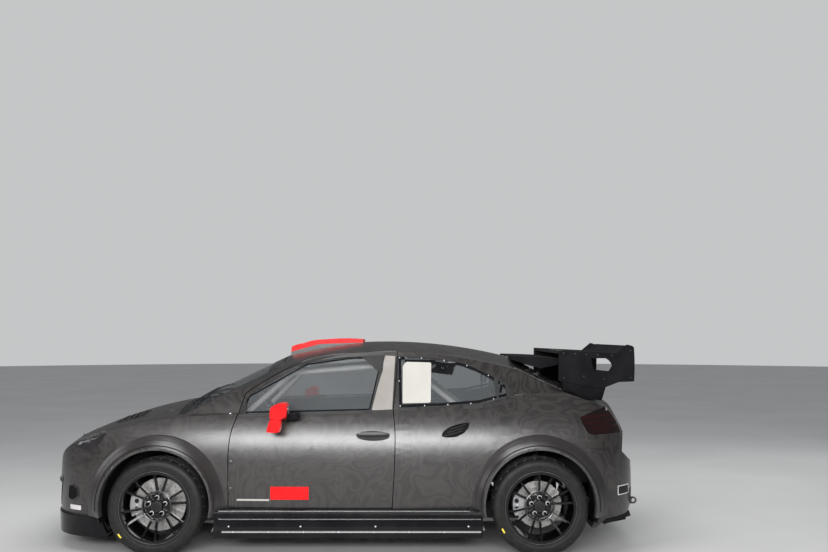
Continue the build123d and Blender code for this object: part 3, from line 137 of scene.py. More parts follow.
@dataclass(frozen=True)
class Finish:
    """One surface finish: its usual slot, two colours, how they mix, and how the surface takes the light."""

    name: str
    slot: str
    colour: Colour
    second: Colour
    pattern: Pattern = Pattern.CLOUDED
    scale: float = 6.0
    roughness: tuple[float, float] = (0.35, 0.5)
    bump: float = 0.05
    bump_scale: float = 300.0
    metallic: float = 0.0
    coat: float = 0.0
    sheen: float = 0.0
    alpha: float = 1.0
    specular: float = 0.5

    RELIEF_DEPTH = 0.0006
    COAT_ROUGHNESS = 0.06
    GRAIN = 3.0
    BRUSH_STRETCH = (1.0, 1.0, 24.0)
    SWIRL_BANDS = (0.42, 0.47, 0.53, 0.60, 0.66)
    ENDS = {
        Pattern.SWIRLED: (0.30, 0.80),
        Pattern.CLOUDED: (0.35, 0.68),
        Pattern.BRUSHED: (0.3, 0.7),
        Pattern.WOVEN: (0.3, 0.7),
        Pattern.CAST: (0.35, 0.68),
    }

    def material(self) -> bpy.types.Material:
        """The node material of this finish.

        Returns:
            The material, made on the first call and found again by its name after that.
        """
        label = "finish_" + self.name
        found = bpy.data.materials.get(label)
        if found:
            return found
        made = bpy.data.materials.new(label)
        made.use_nodes = True
        tree = made.node_tree
        place = tree.nodes.new("ShaderNodeTexCoord").outputs["Object"]
        grain = noise(tree, place, self.scale * self.GRAIN, 4.0, 0.6)
        low, high = self.roughness
        spread = new_node(tree, "MapRange", {"Value": grain, "To Min": low, "To Max": high})
        height = noise(tree, place, self.bump_scale, 3.0, 0.0)
        relief = new_node(tree, "Bump", {"Strength": self.bump, "Distance": self.RELIEF_DEPTH,
                                         "Height": height})
        fill(tree, tree.nodes["Principled BSDF"], {
            "Base Color": self._colour(tree, place),
            "Roughness": spread.outputs["Result"],
            "Normal": relief.outputs["Normal"],
            "Metallic": self.metallic,
            "Coat Weight": self.coat,
            "Coat Roughness": self.COAT_ROUGHNESS,
            "Sheen Weight": self.sheen,
            "Alpha": self.alpha,
            "Specular IOR Level": self.specular,
        })
        return made

    def _colour(self, tree: bpy.types.NodeTree, place: bpy.types.NodeSocket) -> bpy.types.NodeSocket:
        """The colour pattern of the finish.

        Args:
            tree: Node tree of the material.
            place: Object coordinates.

        Returns:
            The colour that goes to the shader.
        """
        ramp = tree.nodes.new("ShaderNodeValToRGB")
        bands = ramp.color_ramp
        bands.interpolation = "EASE"
        first, last = bands.elements[0], bands.elements[1]
        first.position, last.position = self.ENDS[self.pattern]
        first.color = (*self.colour, 1.0)
        last.color = (*self.second, 1.0)
        if self.pattern is Pattern.SWIRLED:
            value = noise(tree, place, self.scale, 1.2, 3.2)
            last.color = (*[0.88 * part for part in self.colour], 1.0)
            for number, spot in enumerate(self.SWIRL_BANDS):
                bands.elements.new(spot).color = (*(self.colour if number % 2 else self.second), 1.0)
        elif self.pattern is Pattern.BRUSHED:
            mapping = new_node(tree, "Mapping", {"Vector": place, "Scale": self.BRUSH_STRETCH})
            value = noise(tree, mapping.outputs["Vector"], self.scale, 3.0, 0.0)
        elif self.pattern is Pattern.WOVEN:
            value = self._weave(tree, place)
        else:
            value = noise(tree, place, self.scale, 6.0 if self.pattern is Pattern.CAST else 3.0, 0.4)
        tree.links.new(value, ramp.inputs["Fac"])
        return ramp.outputs["Color"]

    def _weave(self, tree: bpy.types.NodeTree, place: bpy.types.NodeSocket) -> bpy.types.NodeSocket:
        """Two crossed sets of threads.

        Args:
            tree: Node tree of the material.
            place: Object coordinates.

        Returns:
            The value of the weave.
        """
        threads = []
        for direction in ("DIAGONAL", "Z"):
            wave = new_node(tree, "TexWave", {"Vector": place, "Scale": self.scale})
            wave.bands_direction = direction
            threads.append(wave.outputs["Fac"])
        return new_node(tree, "Math", dict(enumerate(threads)), "MAXIMUM").outputs["Value"]


WRAP = Finish("matte_wrap", "body_wrap", (0.014, 0.0122, 0.0115), (0.029, 0.0252, 0.0238), Pattern.SWIRLED,
              scale=2.1, roughness=(0.24, 0.34), bump=0.02, specular=0.80)
FLARE_WRAP = Finish("flare_wrap", "body_wrap", (0.019, 0.0168, 0.0160), (0.026, 0.0230, 0.0220), scale=3.0,
                    roughness=(0.26, 0.34), bump=0.02, specular=0.80)
INNER_PAINT = Finish("inner_paint", "body_wrap", (0.040, 0.040, 0.041), (0.055, 0.055, 0.056), scale=4.0,
                     roughness=(0.45, 0.6), bump=0.05)
PILLAR_TAUPE = Finish("pillar_taupe", "body_wrap", (0.24, 0.22, 0.20), (0.28, 0.26, 0.24), scale=5.0,
                      roughness=(0.4, 0.5))
GLOSS_BLACK = Finish("gloss_black", "gloss_black", (0.006, 0.006, 0.007), (0.010, 0.010, 0.011),
                     roughness=(0.08, 0.14), bump=0.01, coat=0.05, specular=0.16)
BEAD_BLACK = Finish("bead_black", "gloss_black", (0.006, 0.006, 0.007), (0.010, 0.010, 0.011),
                    roughness=(0.12, 0.18), bump=0.01, coat=0.4, specular=0.9)
SATIN_BLACK = Finish("satin_black", "satin_black", (0.012, 0.012, 0.013), (0.020, 0.020, 0.021),
                     roughness=(0.38, 0.5), bump=0.15, bump_scale=700.0, specular=0.16)
RED_GLOSS = Finish("red_gloss", "red_gloss", (0.70, 0.006, 0.008), (0.76, 0.008, 0.010),
                   roughness=(0.18, 0.28), specular=0.25)
DARK_LENS = Finish("smoked_lens", "lamp_lens", (0.014, 0.013, 0.014), (0.03, 0.026, 0.028),
                   roughness=(0.04, 0.08), bump=0.01, coat=1.0)
TAIL_LENS = Finish("dark_red_lens", "lamp_lens", (0.012, 0.004, 0.004), (0.008, 0.004, 0.004),
                   roughness=(0.05, 0.1), bump=0.01, coat=0.2, specular=0.3)
LAMP_SILVER = Finish("lamp_reflector", "window_glass", (0.70, 0.70, 0.71), (0.80, 0.80, 0.82),
                     roughness=(0.12, 0.2), metallic=1.0)
LAMP_GREY = Finish("lamp_grey", "lamp_lens", (0.030, 0.029, 0.028), (0.040, 0.039, 0.038),
                   roughness=(0.3, 0.4), specular=0.3)
LAMP_RED = Finish("lamp_red_bar", "lamp_lens", (0.018, 0.004, 0.004), (0.026, 0.005, 0.005),
                  roughness=(0.2, 0.3), specular=0.3)
TINTED_GLASS = Finish("tinted_glass", "window_glass", (0.13, 0.14, 0.145), (0.15, 0.16, 0.165), scale=1.5,
                      roughness=(0.02, 0.04), bump=0.0, alpha=0.30, specular=0.6, coat=0.2)
SCREEN_GLASS = Finish("screen_glass", "window_glass", (0.022, 0.027, 0.028), (0.027, 0.032, 0.033),
                      scale=1.5, roughness=(0.02, 0.04), bump=0.0, alpha=0.30, specular=0.6, coat=0.2)
RIM_BLACK = Finish("rim_black", "rim_black", (0.003, 0.003, 0.0033), (0.005, 0.005, 0.0054),
                   roughness=(0.10, 0.16), bump=0.03, coat=0.1, specular=0.26)
BRIGHT_ALLOY = Finish("bright_alloy", "upright_metal", (0.66, 0.66, 0.67), (0.78, 0.78, 0.79),
                      Pattern.BRUSHED, scale=20.0, roughness=(0.28, 0.40), metallic=0.5)
CAST_ALLOY = Finish("cast_alloy", "upright_metal", (0.42, 0.42, 0.43), (0.52, 0.52, 0.53), Pattern.CAST,
                    scale=60.0, roughness=(0.42, 0.6), bump=0.4, bump_scale=900.0, metallic=0.9)
CALIPER_WHITE = Finish("caliper_pale", "upright_metal", (0.36, 0.36, 0.37), (0.44, 0.44, 0.45),
                       roughness=(0.3, 0.42), bump=0.1, metallic=0.6)
DISC_STEEL = Finish("disc_steel", "rim_black", (0.30, 0.29, 0.28), (0.42, 0.41, 0.40), Pattern.BRUSHED,
                    scale=30.0, roughness=(0.3, 0.42), metallic=1.0)
RUBBER = Finish("tyre_rubber", "tyre_rubber", (0.013, 0.0127, 0.0122), (0.020, 0.0195, 0.0188), Pattern.CAST,
                scale=30.0, roughness=(0.40, 0.52), bump=0.3, bump_scale=500.0, specular=0.2)
SEAL_RUBBER = Finish("seal_rubber", "satin_black", (0.012, 0.012, 0.012), (0.02, 0.02, 0.02),
                     roughness=(0.5, 0.65), bump=0.1)
YELLOW_MARK = Finish("yellow_mark", "tyre_rubber", (0.72, 0.55, 0.03), (0.80, 0.62, 0.05),
                     roughness=(0.5, 0.6))
FRAME_STEEL = Finish("frame_steel", "subframe_steel", (0.030, 0.030, 0.032), (0.05, 0.05, 0.052),
                     Pattern.CAST, scale=20.0, roughness=(0.4, 0.55), bump=0.1)
ENGINE_CAST = Finish("engine_cast", "engine_alloy", (0.20, 0.20, 0.205), (0.30, 0.30, 0.305), Pattern.CAST,
                     scale=35.0, roughness=(0.45, 0.65), bump=0.4, metallic=0.8)
FLOOR_GREY = Finish("floor_paint", "floor_paint", (0.30, 0.305, 0.31), (0.37, 0.375, 0.38), scale=4.0,
                    roughness=(0.4, 0.55), bump=0.08)
CAGE_WHITE = Finish("cage_white", "cage_white", (0.72, 0.72, 0.71), (0.78, 0.78, 0.77), scale=8.0,
                    roughness=(0.25, 0.35), coat=0.3)
SEAT_SHELL = Finish("seat_shell", "seat_cloth", (0.014, 0.014, 0.015), (0.035, 0.035, 0.037), Pattern.WOVEN,
                    scale=90.0, roughness=(0.22, 0.32), bump=0.02, coat=0.5)
SEAT_CLOTH = Finish("seat_cloth", "seat_cloth", (0.022, 0.022, 0.024), (0.040, 0.040, 0.043), Pattern.WOVEN,
                    scale=160.0, roughness=(0.8, 0.95), bump=0.5, bump_scale=900.0, sheen=0.3)
EXHAUST_STEEL = Finish("exhaust_steel", "exhaust_steel", (0.40, 0.38, 0.36), (0.52, 0.49, 0.45),
                       Pattern.BRUSHED, scale=18.0, roughness=(0.25, 0.4), metallic=1.0)
PALE_SHEET = Finish("pale_sheet", "body_wrap", (0.44, 0.42, 0.39), (0.49, 0.47, 0.44), scale=3.0,
                    roughness=(0.35, 0.45))
BLANK_PLATE = Finish("blank_plate", "body_wrap", (0.55, 0.53, 0.54), (0.60, 0.58, 0.58), scale=5.0,
                     roughness=(0.3, 0.4))
SILVER_STRIP = Finish("silver_strip", "upright_metal", (0.58, 0.58, 0.59), (0.68, 0.68, 0.69),
                      Pattern.BRUSHED, scale=40.0, roughness=(0.2, 0.32), metallic=0.9)
LIP_METAL = Finish("lip_metal", "rim_black", (0.10, 0.10, 0.102), (0.14, 0.14, 0.142), Pattern.BRUSHED,
                   scale=20.0, roughness=(0.18, 0.28), metallic=0.8)
WING_BLACK = Finish("wing_black", "gloss_black", (0.007, 0.007, 0.008), (0.011, 0.011, 0.012),
                    roughness=(0.5, 0.6), bump=0.1, bump_scale=700.0, specular=0.04)
# Near-black matte fill: painted shade that stands in for the depth of intakes, slots and vents.
OPENING_SHADE = Finish("painted_opening_shade", "satin_black", (0.004, 0.004, 0.004), (0.007, 0.007, 0.007),
                     roughness=(0.6, 0.75), specular=0.1)
DARK_MESH = Finish("dark_mesh", "satin_black", (0.010, 0.010, 0.010), (0.02, 0.02, 0.02),
                   roughness=(0.5, 0.65))
GRIP_SUEDE = Finish("grip_suede", "satin_black", (0.016, 0.016, 0.017), (0.03, 0.03, 0.032), Pattern.CAST,
                    scale=200.0, roughness=(0.85, 0.98), bump=0.6, bump_scale=1400.0, sheen=0.4)
STUDIO_PAINT = Finish("studio_floor_paint", "", (0.48, 0.477, 0.47), (0.51, 0.507, 0.50), scale=0.6,
                      roughness=(0.6, 0.75), bump=0.02, specular=0.1)


class View(Enum):
    """A flat drawing plane, as the number of the axis that it looks along and its place on that axis."""

    LEFT = (1, -1.4)
    RIGHT = (1, 1.4)
    TOP = (2, 2.2)
    FRONT = (0, -2.8)
    REAR = (0, 2.8)

    @classmethod
    def of_side(cls, side: int) -> "View":
        """The side view on that side of the car."""
        return cls.LEFT if side == LEFT else cls.RIGHT

    def place(self, across: float, up: float) -> Vector:
        """A point of the drawing, held off the car.

        Args:
            across: X in side and top views, Y in end views.
            up: Y in the top view, Z in the others.

        Returns:
            The point, outside the car.
        """
        axis, distance = self.value
        spot = [across, up]
        spot.insert(axis, distance)
        return Vector(spot)

    @property
    def toward(self) -> Vector:
        """The direction from the drawing to the car."""
        axis, distance = self.value
        way = Vector((0.0, 0.0, 0.0))
        way[axis] = -math.copysign(1.0, distance)
        return way

    @property
    def cut_normals(self) -> list[Vector]:
        """The directions of the two sets of grid lines."""
        return [row.copy() for number, row in enumerate(Matrix.Identity(3)) if number != self.value[0]]


@dataclass
class Bench:
    """Turns meshes into finished pieces that ride on the car's bodies."""

    frame: dict
    count: int = 0

    def node_mesh(self, node: str) -> BMesh:
        """A merged copy of one CAD node's mesh.

        Args:
            node: Name of the CAD node.

        Returns:
            The copy.
        """
        mesh = bmesh.new()
        mesh.from_mesh(self.frame["nodes"][node].data)
        bmesh.ops.remove_doubles(mesh, verts=mesh.verts[:], dist=2e-5)
        return mesh

    def body_of(self, node: str) -> str:
        """The body that a CAD node rides on."""
        return self.frame["nodes"][node]["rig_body"]

    def piece(self, name: str, mesh: BMesh, finishes: Finish | Sequence[Finish], body: str,
              sharp: float = 32.0, slot: str = "") -> bpy.types.Object:
        """Makes a finished piece of a mesh.

        Args:
            name: Name of the piece.
            mesh: Its shape, in place, which is freed here.
            finishes: Its finish, or the finishes that its faces' material numbers choose from.
            body: Body that it rides on.
            sharp: Angle in degrees past which an edge stays crisp.
            slot: Material slot of the record, where it isn't the first finish's own; it is worked out but
                not given to the piece.

        Returns:
            The new object.
        """
        data = bpy.data.meshes.new(name)
        mesh.to_mesh(data)
        mesh.free()
        for polygon in data.polygons:
            polygon.use_smooth = True
        data.set_sharp_from_angle(angle=math.radians(sharp))
        made = bpy.data.objects.new(name, data)
        bpy.context.scene.collection.objects.link(made)
        chosen = [finishes] if isinstance(finishes, Finish) else finishes
        for finish in chosen:
            data.materials.append(finish.material())
        slot = slot or chosen[0].slot
        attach(made, body)
        self.count += 1
        LOG.info("%s rides on %s with %d faces", name, body, len(data.polygons))
        return made

    def dress(self, node: str, finishes: Finish | Sequence[Finish], sharp: float = 24.0,
              zone: Callable[[Vector, Vector], int] | None = None,
              cuts: Sequence[tuple[Vector, Vector]] = ()) -> bpy.types.Object:
        """A smooth-shaded copy of a CAD node that stands for it.

        Args:
            node: Name of the CAD node.
            finishes: One finish, or several that zone chooses from.
            sharp: Angle in degrees past which an edge stays crisp.
            zone: Gives the number of the finish for a face's centre and normal.
            cuts: Planes, as a point and a normal, along which two finishes meet.

        Returns:
            The new object.
        """
        mesh = self.node_mesh(node)
        for spot, normal in cuts:
            geometry = mesh.verts[:] + mesh.edges[:] + mesh.faces[:]
            bmesh.ops.bisect_plane(mesh, geom=geometry, dist=1e-6, plane_co=spot, plane_no=normal)
        if zone:
            mesh.normal_update()
            for face in mesh.faces:
                face.material_index = zone(face.calc_center_median(), face.normal)
            seams = [edge for edge in mesh.edges
                     if len({face.material_index for face in edge.link_faces}) > 1]
            bmesh.ops.split_edges(mesh, edges=seams)
        made = self.piece(node + "_dressed", mesh, finishes, self.body_of(node), sharp)
        even = made.modifiers.new("even_normals", "WEIGHTED_NORMAL")
        even.keep_sharp = True
        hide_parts(node)
        return made


class Skin:
    """The outer surface of some CAD nodes, for laying pieces on it."""

    REACH = 0.55

    def __init__(self, bench: Bench, *nodes: str) -> None:
        """Builds the search tree of the nodes' faces.

        Args:
            bench: Bench that holds the nodes.
            *nodes: Names of the CAD nodes.
        """
        points: list[Vector] = []
        faces: list[tuple[int, ...]] = []
        for node in nodes:
            data = bench.frame["nodes"][node].data
            start = len(points)
            points.extend(vertex.co.copy() for vertex in data.vertices)
            faces.extend(tuple(start + index for index in polygon.vertices) for polygon in data.polygons)
        self.tree = BVHTree.FromPolygons(points, faces)

    def lay(self, point: Vector, toward: Vector) -> tuple[Vector, Vector]:
        """Drops a point on the surface.

        Args:
            point: Where it starts, outside the car.
            toward: Direction in which it falls.

        Returns:
            The place on the surface and the outward normal there.
        """
        place, normal, _, _ = self.tree.ray_cast(point, toward)
        if place is None:
            place, normal, _, _ = self.tree.find_nearest(point + toward * self.REACH)
        return place, -normal if normal.dot(toward) > 0.0 else normal


class Maker:
    """Shapes of thin trim, turned parts, tubes and blocks."""

    @staticmethod
    def grid(mesh: BMesh, view: View, step: float) -> None:
        """Cuts a flat mesh into cells of about one step, so that it can bend.

        Args:
            mesh: The flat mesh.
            view: Plane that it lies in.
            step: Width of a cell.
        """
        for normal in view.cut_normals:
            reach = [vertex.co.dot(normal) for vertex in mesh.verts]
            low, high = min(reach), max(reach)
            cells = max(1, math.ceil((high - low) / step))
            for number in range(1, cells):
                spot = normal * (low + (high - low) * number / cells)
                geometry = mesh.verts[:] + mesh.edges[:] + mesh.faces[:]
                bmesh.ops.bisect_plane(mesh, geom=geometry, dist=1e-6, plane_co=spot, plane_no=normal)

    @staticmethod
    def flat(view: View, outline: Outline, corner: float = 0.0, ring: float = 0.0) -> BMesh:
        """A flat face or ring in a drawing plane.

        Args:
            view: The plane.
            outline: Corners in order.
            corner: Radius of the corners.
            ring: Width of the ring that is kept along the edge, or zero for the whole face.

        Returns:
            The flat mesh.
        """
        mesh = bmesh.new()
        mesh.faces.new([mesh.verts.new(view.place(across, up)) for across, up in outline])
        if corner:
            bmesh.ops.bevel(mesh, geom=mesh.verts[:] + mesh.edges[:], offset=corner, affect="VERTICES",
                            segments=5, profile=0.5, material=-1)
        if ring:
            inner = bmesh.ops.inset_region(mesh, faces=mesh.faces[:], thickness=ring, use_boundary=True)
            middle = [face for face in mesh.faces if face not in set(inner["faces"])]
            bmesh.ops.delete(mesh, geom=middle, context="FACES_ONLY")
        return mesh

    @classmethod
    def laid(cls, skin: Skin, view: View, outline: Outline, corner: float = 0.0, ring: float = 0.0,
             step: float = 0.03, lift: float = 0.002, sink: float = 0.002) -> BMesh:
        """A thin plate that follows the car's surface.

        Args:
            skin: Surface that it lies on.
            view: Plane in which it is drawn.
            outline: Corners in order.
            corner: Radius of the corners.
            ring: Width of a ring along the edge, or zero for a whole plate.
            step: Width of the cells that bend.
            lift: How far its face stands off the surface.
            sink: How far its edge goes below the surface.

        Returns:
            The closed plate.
        """
        mesh = cls.flat(view, outline, corner, ring)
        cls.grid(mesh, view, step)
        bmesh.ops.triangulate(mesh, faces=[face for face in mesh.faces if len(face.verts) > 4])
        tops = mesh.verts[:]
        spots = {vertex: skin.lay(vertex.co.copy(), view.toward) for vertex in tops}
        under = bmesh.ops.extrude_face_region(mesh, geom=mesh.faces[:], use_keep_orig=True)
        copies = [item for item in under["geom"] if isinstance(item, bmesh.types.BMVert)]
        for vertex in copies:
            place, normal = skin.lay(vertex.co.copy(), view.toward)
            vertex.co = place - normal * sink
        for vertex, (place, normal) in spots.items():
            vertex.co = place + normal * lift
        bmesh.ops.recalc_face_normals(mesh, faces=mesh.faces[:])
        return mesh

    @staticmethod
    def join(meshes: Iterable[BMesh]) -> BMesh:
        """Joins several meshes.

        Args:
            meshes: The meshes, which are freed.

        Returns:
            One mesh of them all.
        """
        whole = bmesh.new()
        for mesh in meshes:
            data = bpy.data.meshes.new("part")
            mesh.to_mesh(data)
            mesh.free()
            whole.from_mesh(data)
            bpy.data.meshes.remove(data)
        return whole

    @staticmethod
    def block(centre: Sequence[float], size: Sequence[float], edge: float = 0.0, segments: int = 2,
              turn: Matrix | None = None) -> BMesh:
        """A block with rounded edges.

        Args:
            centre: Its middle.
            size: Its three lengths.
            edge: Radius of its edges.
            segments: Steps of the rounding.
            turn: Rotation about its middle.

        Returns:
            The block.
        """
        mesh = bmesh.new()
        bmesh.ops.create_cube(mesh, size=1.0)
        bmesh.ops.scale(mesh, vec=Vector(size), verts=mesh.verts[:])
        if edge:
            bmesh.ops.bevel(mesh, geom=mesh.edges[:], offset=edge, affect="EDGES", segments=segments,
                            profile=0.5, material=-1)
        if turn:
            bmesh.ops.transform(mesh, matrix=turn, verts=mesh.verts[:])
        bmesh.ops.translate(mesh, vec=Vector(centre), verts=mesh.verts[:])
        return mesh

    @staticmethod
    def turned(profile: Outline, centre: Sequence[float], axis: Vector, steps: int = 48,
               closed: bool = False) -> BMesh:
        """A part turned on a lathe.

        Args:
            profile: Points as distance along the axis and radius.
            centre: Point of the axis where the distance is zero.
            axis: Direction of the axis.
            steps: Number of facets round it.
            closed: Whether the profile closes on itself, as a ring's does.

        Returns:
            The turned mesh.
        """
        mesh = bmesh.new()
        direction = axis.normalized()
        out = direction.orthogonal().normalized()
        middle = Vector(centre)
        points = [mesh.verts.new(middle + direction * along + out * radius) for along, radius in profile]
        edges = [mesh.edges.new(pair) for pair in zip(points, points[1:])]
        if closed:
            edges.append(mesh.edges.new((points[-1], points[0])))
        bmesh.ops.spin(mesh, geom=points + edges, cent=middle, axis=direction, angle=2.0 * math.pi,
                       steps=steps, use_merge=True)
        bmesh.ops.remove_doubles(mesh, verts=mesh.verts[:], dist=1e-6)
        bmesh.ops.recalc_face_normals(mesh, faces=mesh.faces[:])
        return mesh

    @staticmethod
    def studs(spots: Iterable[tuple[Vector, Vector]], radius: float, height: float, segments: int = 12,
              top: float = 0.8) -> BMesh:
        """Low round or six-sided heads on a surface.

        Args:
            spots: Place and outward normal of each.
            radius: Radius at the foot.
            height: How far they stand off.
            segments: Facets of each, six for a nut.
            top: Radius at the top, as a share of the foot's.

        Returns:
            The heads as one mesh, each with its foot a little below its place.
        """
        sink = 0.002
        mesh = bmesh.new()
        for place, normal in spots:
            turn = Vector((0.0, 0.0, 1.0)).rotation_difference(normal).to_matrix().to_4x4()
            middle = place + normal * (height - sink) / 2.0
            bmesh.ops.create_cone(mesh, cap_ends=True, segments=segments, radius1=radius,
                                  radius2=radius * top, depth=height + sink,
                                  matrix=Matrix.Translation(middle) @ turn)
        return mesh

    @staticmethod
    def tube(points: Sequence[Sequence[float]], radius: float) -> BMesh:
        """A round bar that curves through some points.

        Args:
            points: The points in order.
            radius: Radius of the bar.

        Returns:
            The bar, with closed ends.
        """
        curve = bpy.data.curves.new("route", "CURVE")
        curve.dimensions = "3D"
        curve.bevel_depth = radius
        curve.bevel_resolution = 4
        curve.use_fill_caps = True
        line = curve.splines.new("NURBS")
        line.points.add(len(points) - 1)
        for spot, point in zip(line.points, points):
            spot.co = (*point, 1.0)
        line.order_u = 3
        line.use_endpoint_u = True
        holder = bpy.data.objects.new("route", curve)
        data = bpy.data.meshes.new_from_object(holder)
        mesh = bmesh.new()
        mesh.from_mesh(data)
        bpy.data.objects.remove(holder)
        bpy.data.curves.remove(curve)
        bpy.data.meshes.remove(data)
        bmesh.ops.remove_doubles(mesh, verts=mesh.verts[:], dist=1e-6)
        bmesh.ops.recalc_face_normals(mesh, faces=mesh.faces[:])
        return mesh


def oval(centre: tuple[float, float], length: float, height: float, tilt: float = 0.0,
         steps: int = 28) -> Outline:
    """Corners of an ellipse in a drawing plane.

    Args:
        centre: Its middle.
        length: Its long axis.
        height: Its short axis.
        tilt: Angle of the long axis in degrees.
        steps: Number of corners.

    Returns:
        The corners in order.
    """
    turn = math.radians(tilt)
    rows = []
    for number in range(steps):
        angle = 2.0 * math.pi * number / steps
        across, up = math.cos(angle) * length / 2.0, math.sin(angle) * height / 2.0
        rows.append((centre[0] + across * math.cos(turn) - up * math.sin(turn),
                     centre[1] + across * math.sin(turn) + up * math.cos(turn)))
    return rows


def arc_band(centre: tuple[float, float], inner: float, outer: float, start: float, end: float,
             steps: int = 40) -> Outline:
    """Corners of a curved band round a wheel arch.

    Args:
        centre: Middle of the arcs, as X and Z.
        inner: Inner radius.
        outer: Outer radius.
        start: First angle in degrees.
        end: Last angle in degrees.
        steps: Number of facets.

    Returns:
        The corners in order.
    """
    angles = [math.radians(start + (end - start) * number / steps) for number in range(steps + 1)]
    far = [(centre[0] + math.cos(a) * outer, centre[1] + math.sin(a) * outer) for a in angles]
    near = [(centre[0] + math.cos(a) * inner, centre[1] + math.sin(a) * inner) for a in reversed(angles)]
    return far + near


def strip(start: tuple[float, float], end: tuple[float, float], width: float) -> Outline:
    """Corners of a straight strip in a drawing plane.

    Args:
        start: Middle of one end.
        end: Middle of the other end.
        width: Its width.

    Returns:
        The corners in order.
    """
    length = math.hypot(end[0] - start[0], end[1] - start[1])
    across = ((start[1] - end[1]) / length * width / 2.0, (end[0] - start[0]) / length * width / 2.0)
    return [(start[0] + across[0], start[1] + across[1]), (start[0] - across[0], start[1] - across[1]),
            (end[0] - across[0], end[1] - across[1]), (end[0] + across[0], end[1] + across[1])]


def slanted(left: float, right: float, low: float, high: float, lean: float = 0.0) -> Outline:
    """Corners of a rectangle whose top leans towards the tail by lean."""
    return [(left, low), (right, low), (right + lean, high), (left + lean, high)]


class Overlay:
    """Lays thin plates and small heads, drawn in one plane, on the surface of some nodes."""

    PLATE_SHARP = 40.0
    HEAD_SHARP = 30.0

    def __init__(self, bench: Bench, view: View, body: str, nodes: Sequence[str], ending: str = "") -> None:
        """Keeps the plane, the body and the ending of the pieces' names.

        Args:
            bench: Bench that makes the pieces.
            view: Plane in which they are drawn.
            body: Body that they ride on.
            nodes: CAD nodes that they lie on.
            ending: What the pieces' names end with.
        """
        self.bench = bench
        self.view = view
        self.body = body
        self.ending = ending
        self.skin = Skin(bench, *nodes)

    def spots(self, rows: Iterable[tuple[float, float]]) -> list[tuple[Vector, Vector]]:
        """Places and normals on the surface for points of the drawing."""
        return [self.skin.lay(self.view.place(*row), self.view.toward) for row in rows]

    def sheet(self, outline: Outline, **shape: float) -> BMesh:
        """The mesh of one plate, shaped by the options of Maker.laid."""
        return Maker.laid(self.skin, self.view, outline, **shape)

    def plate(self, name: str, outline: Outline, finish: Finish, slot: str = "", **shape: float) -> None:
        """Lays one plate.

        Args:
            name: Name of the piece, without its ending.
            outline: Corners in order.
            finish: Its finish.
            slot: Material slot of the record, where it isn't the finish's own.
            **shape: Options of Maker.laid.
        """
        mesh = self.sheet(outline, **shape)
        self.bench.piece(name + self.ending, mesh, finish, self.body, self.PLATE_SHARP, slot)

    def heads(self, name: str, rows: Iterable[tuple[float, float]], size: tuple[float, float], segments: int,
              top: float, finish: Finish = BRIGHT_ALLOY) -> None:
        """Sets small heads, such as screws and rivets.

        Args:
            name: Name of the piece, without its ending.
            rows: Their places in the drawing.
            size: Radius and height of each.
            segments: Facets of each.
            top: Radius at the top, as a share of the foot's.
            finish: Their finish.
        """
        mesh = Maker.studs(self.spots(rows), *size, segments, top)
        self.bench.piece(name + self.ending, mesh, finish, self.body, self.HEAD_SHARP, "upright_metal")


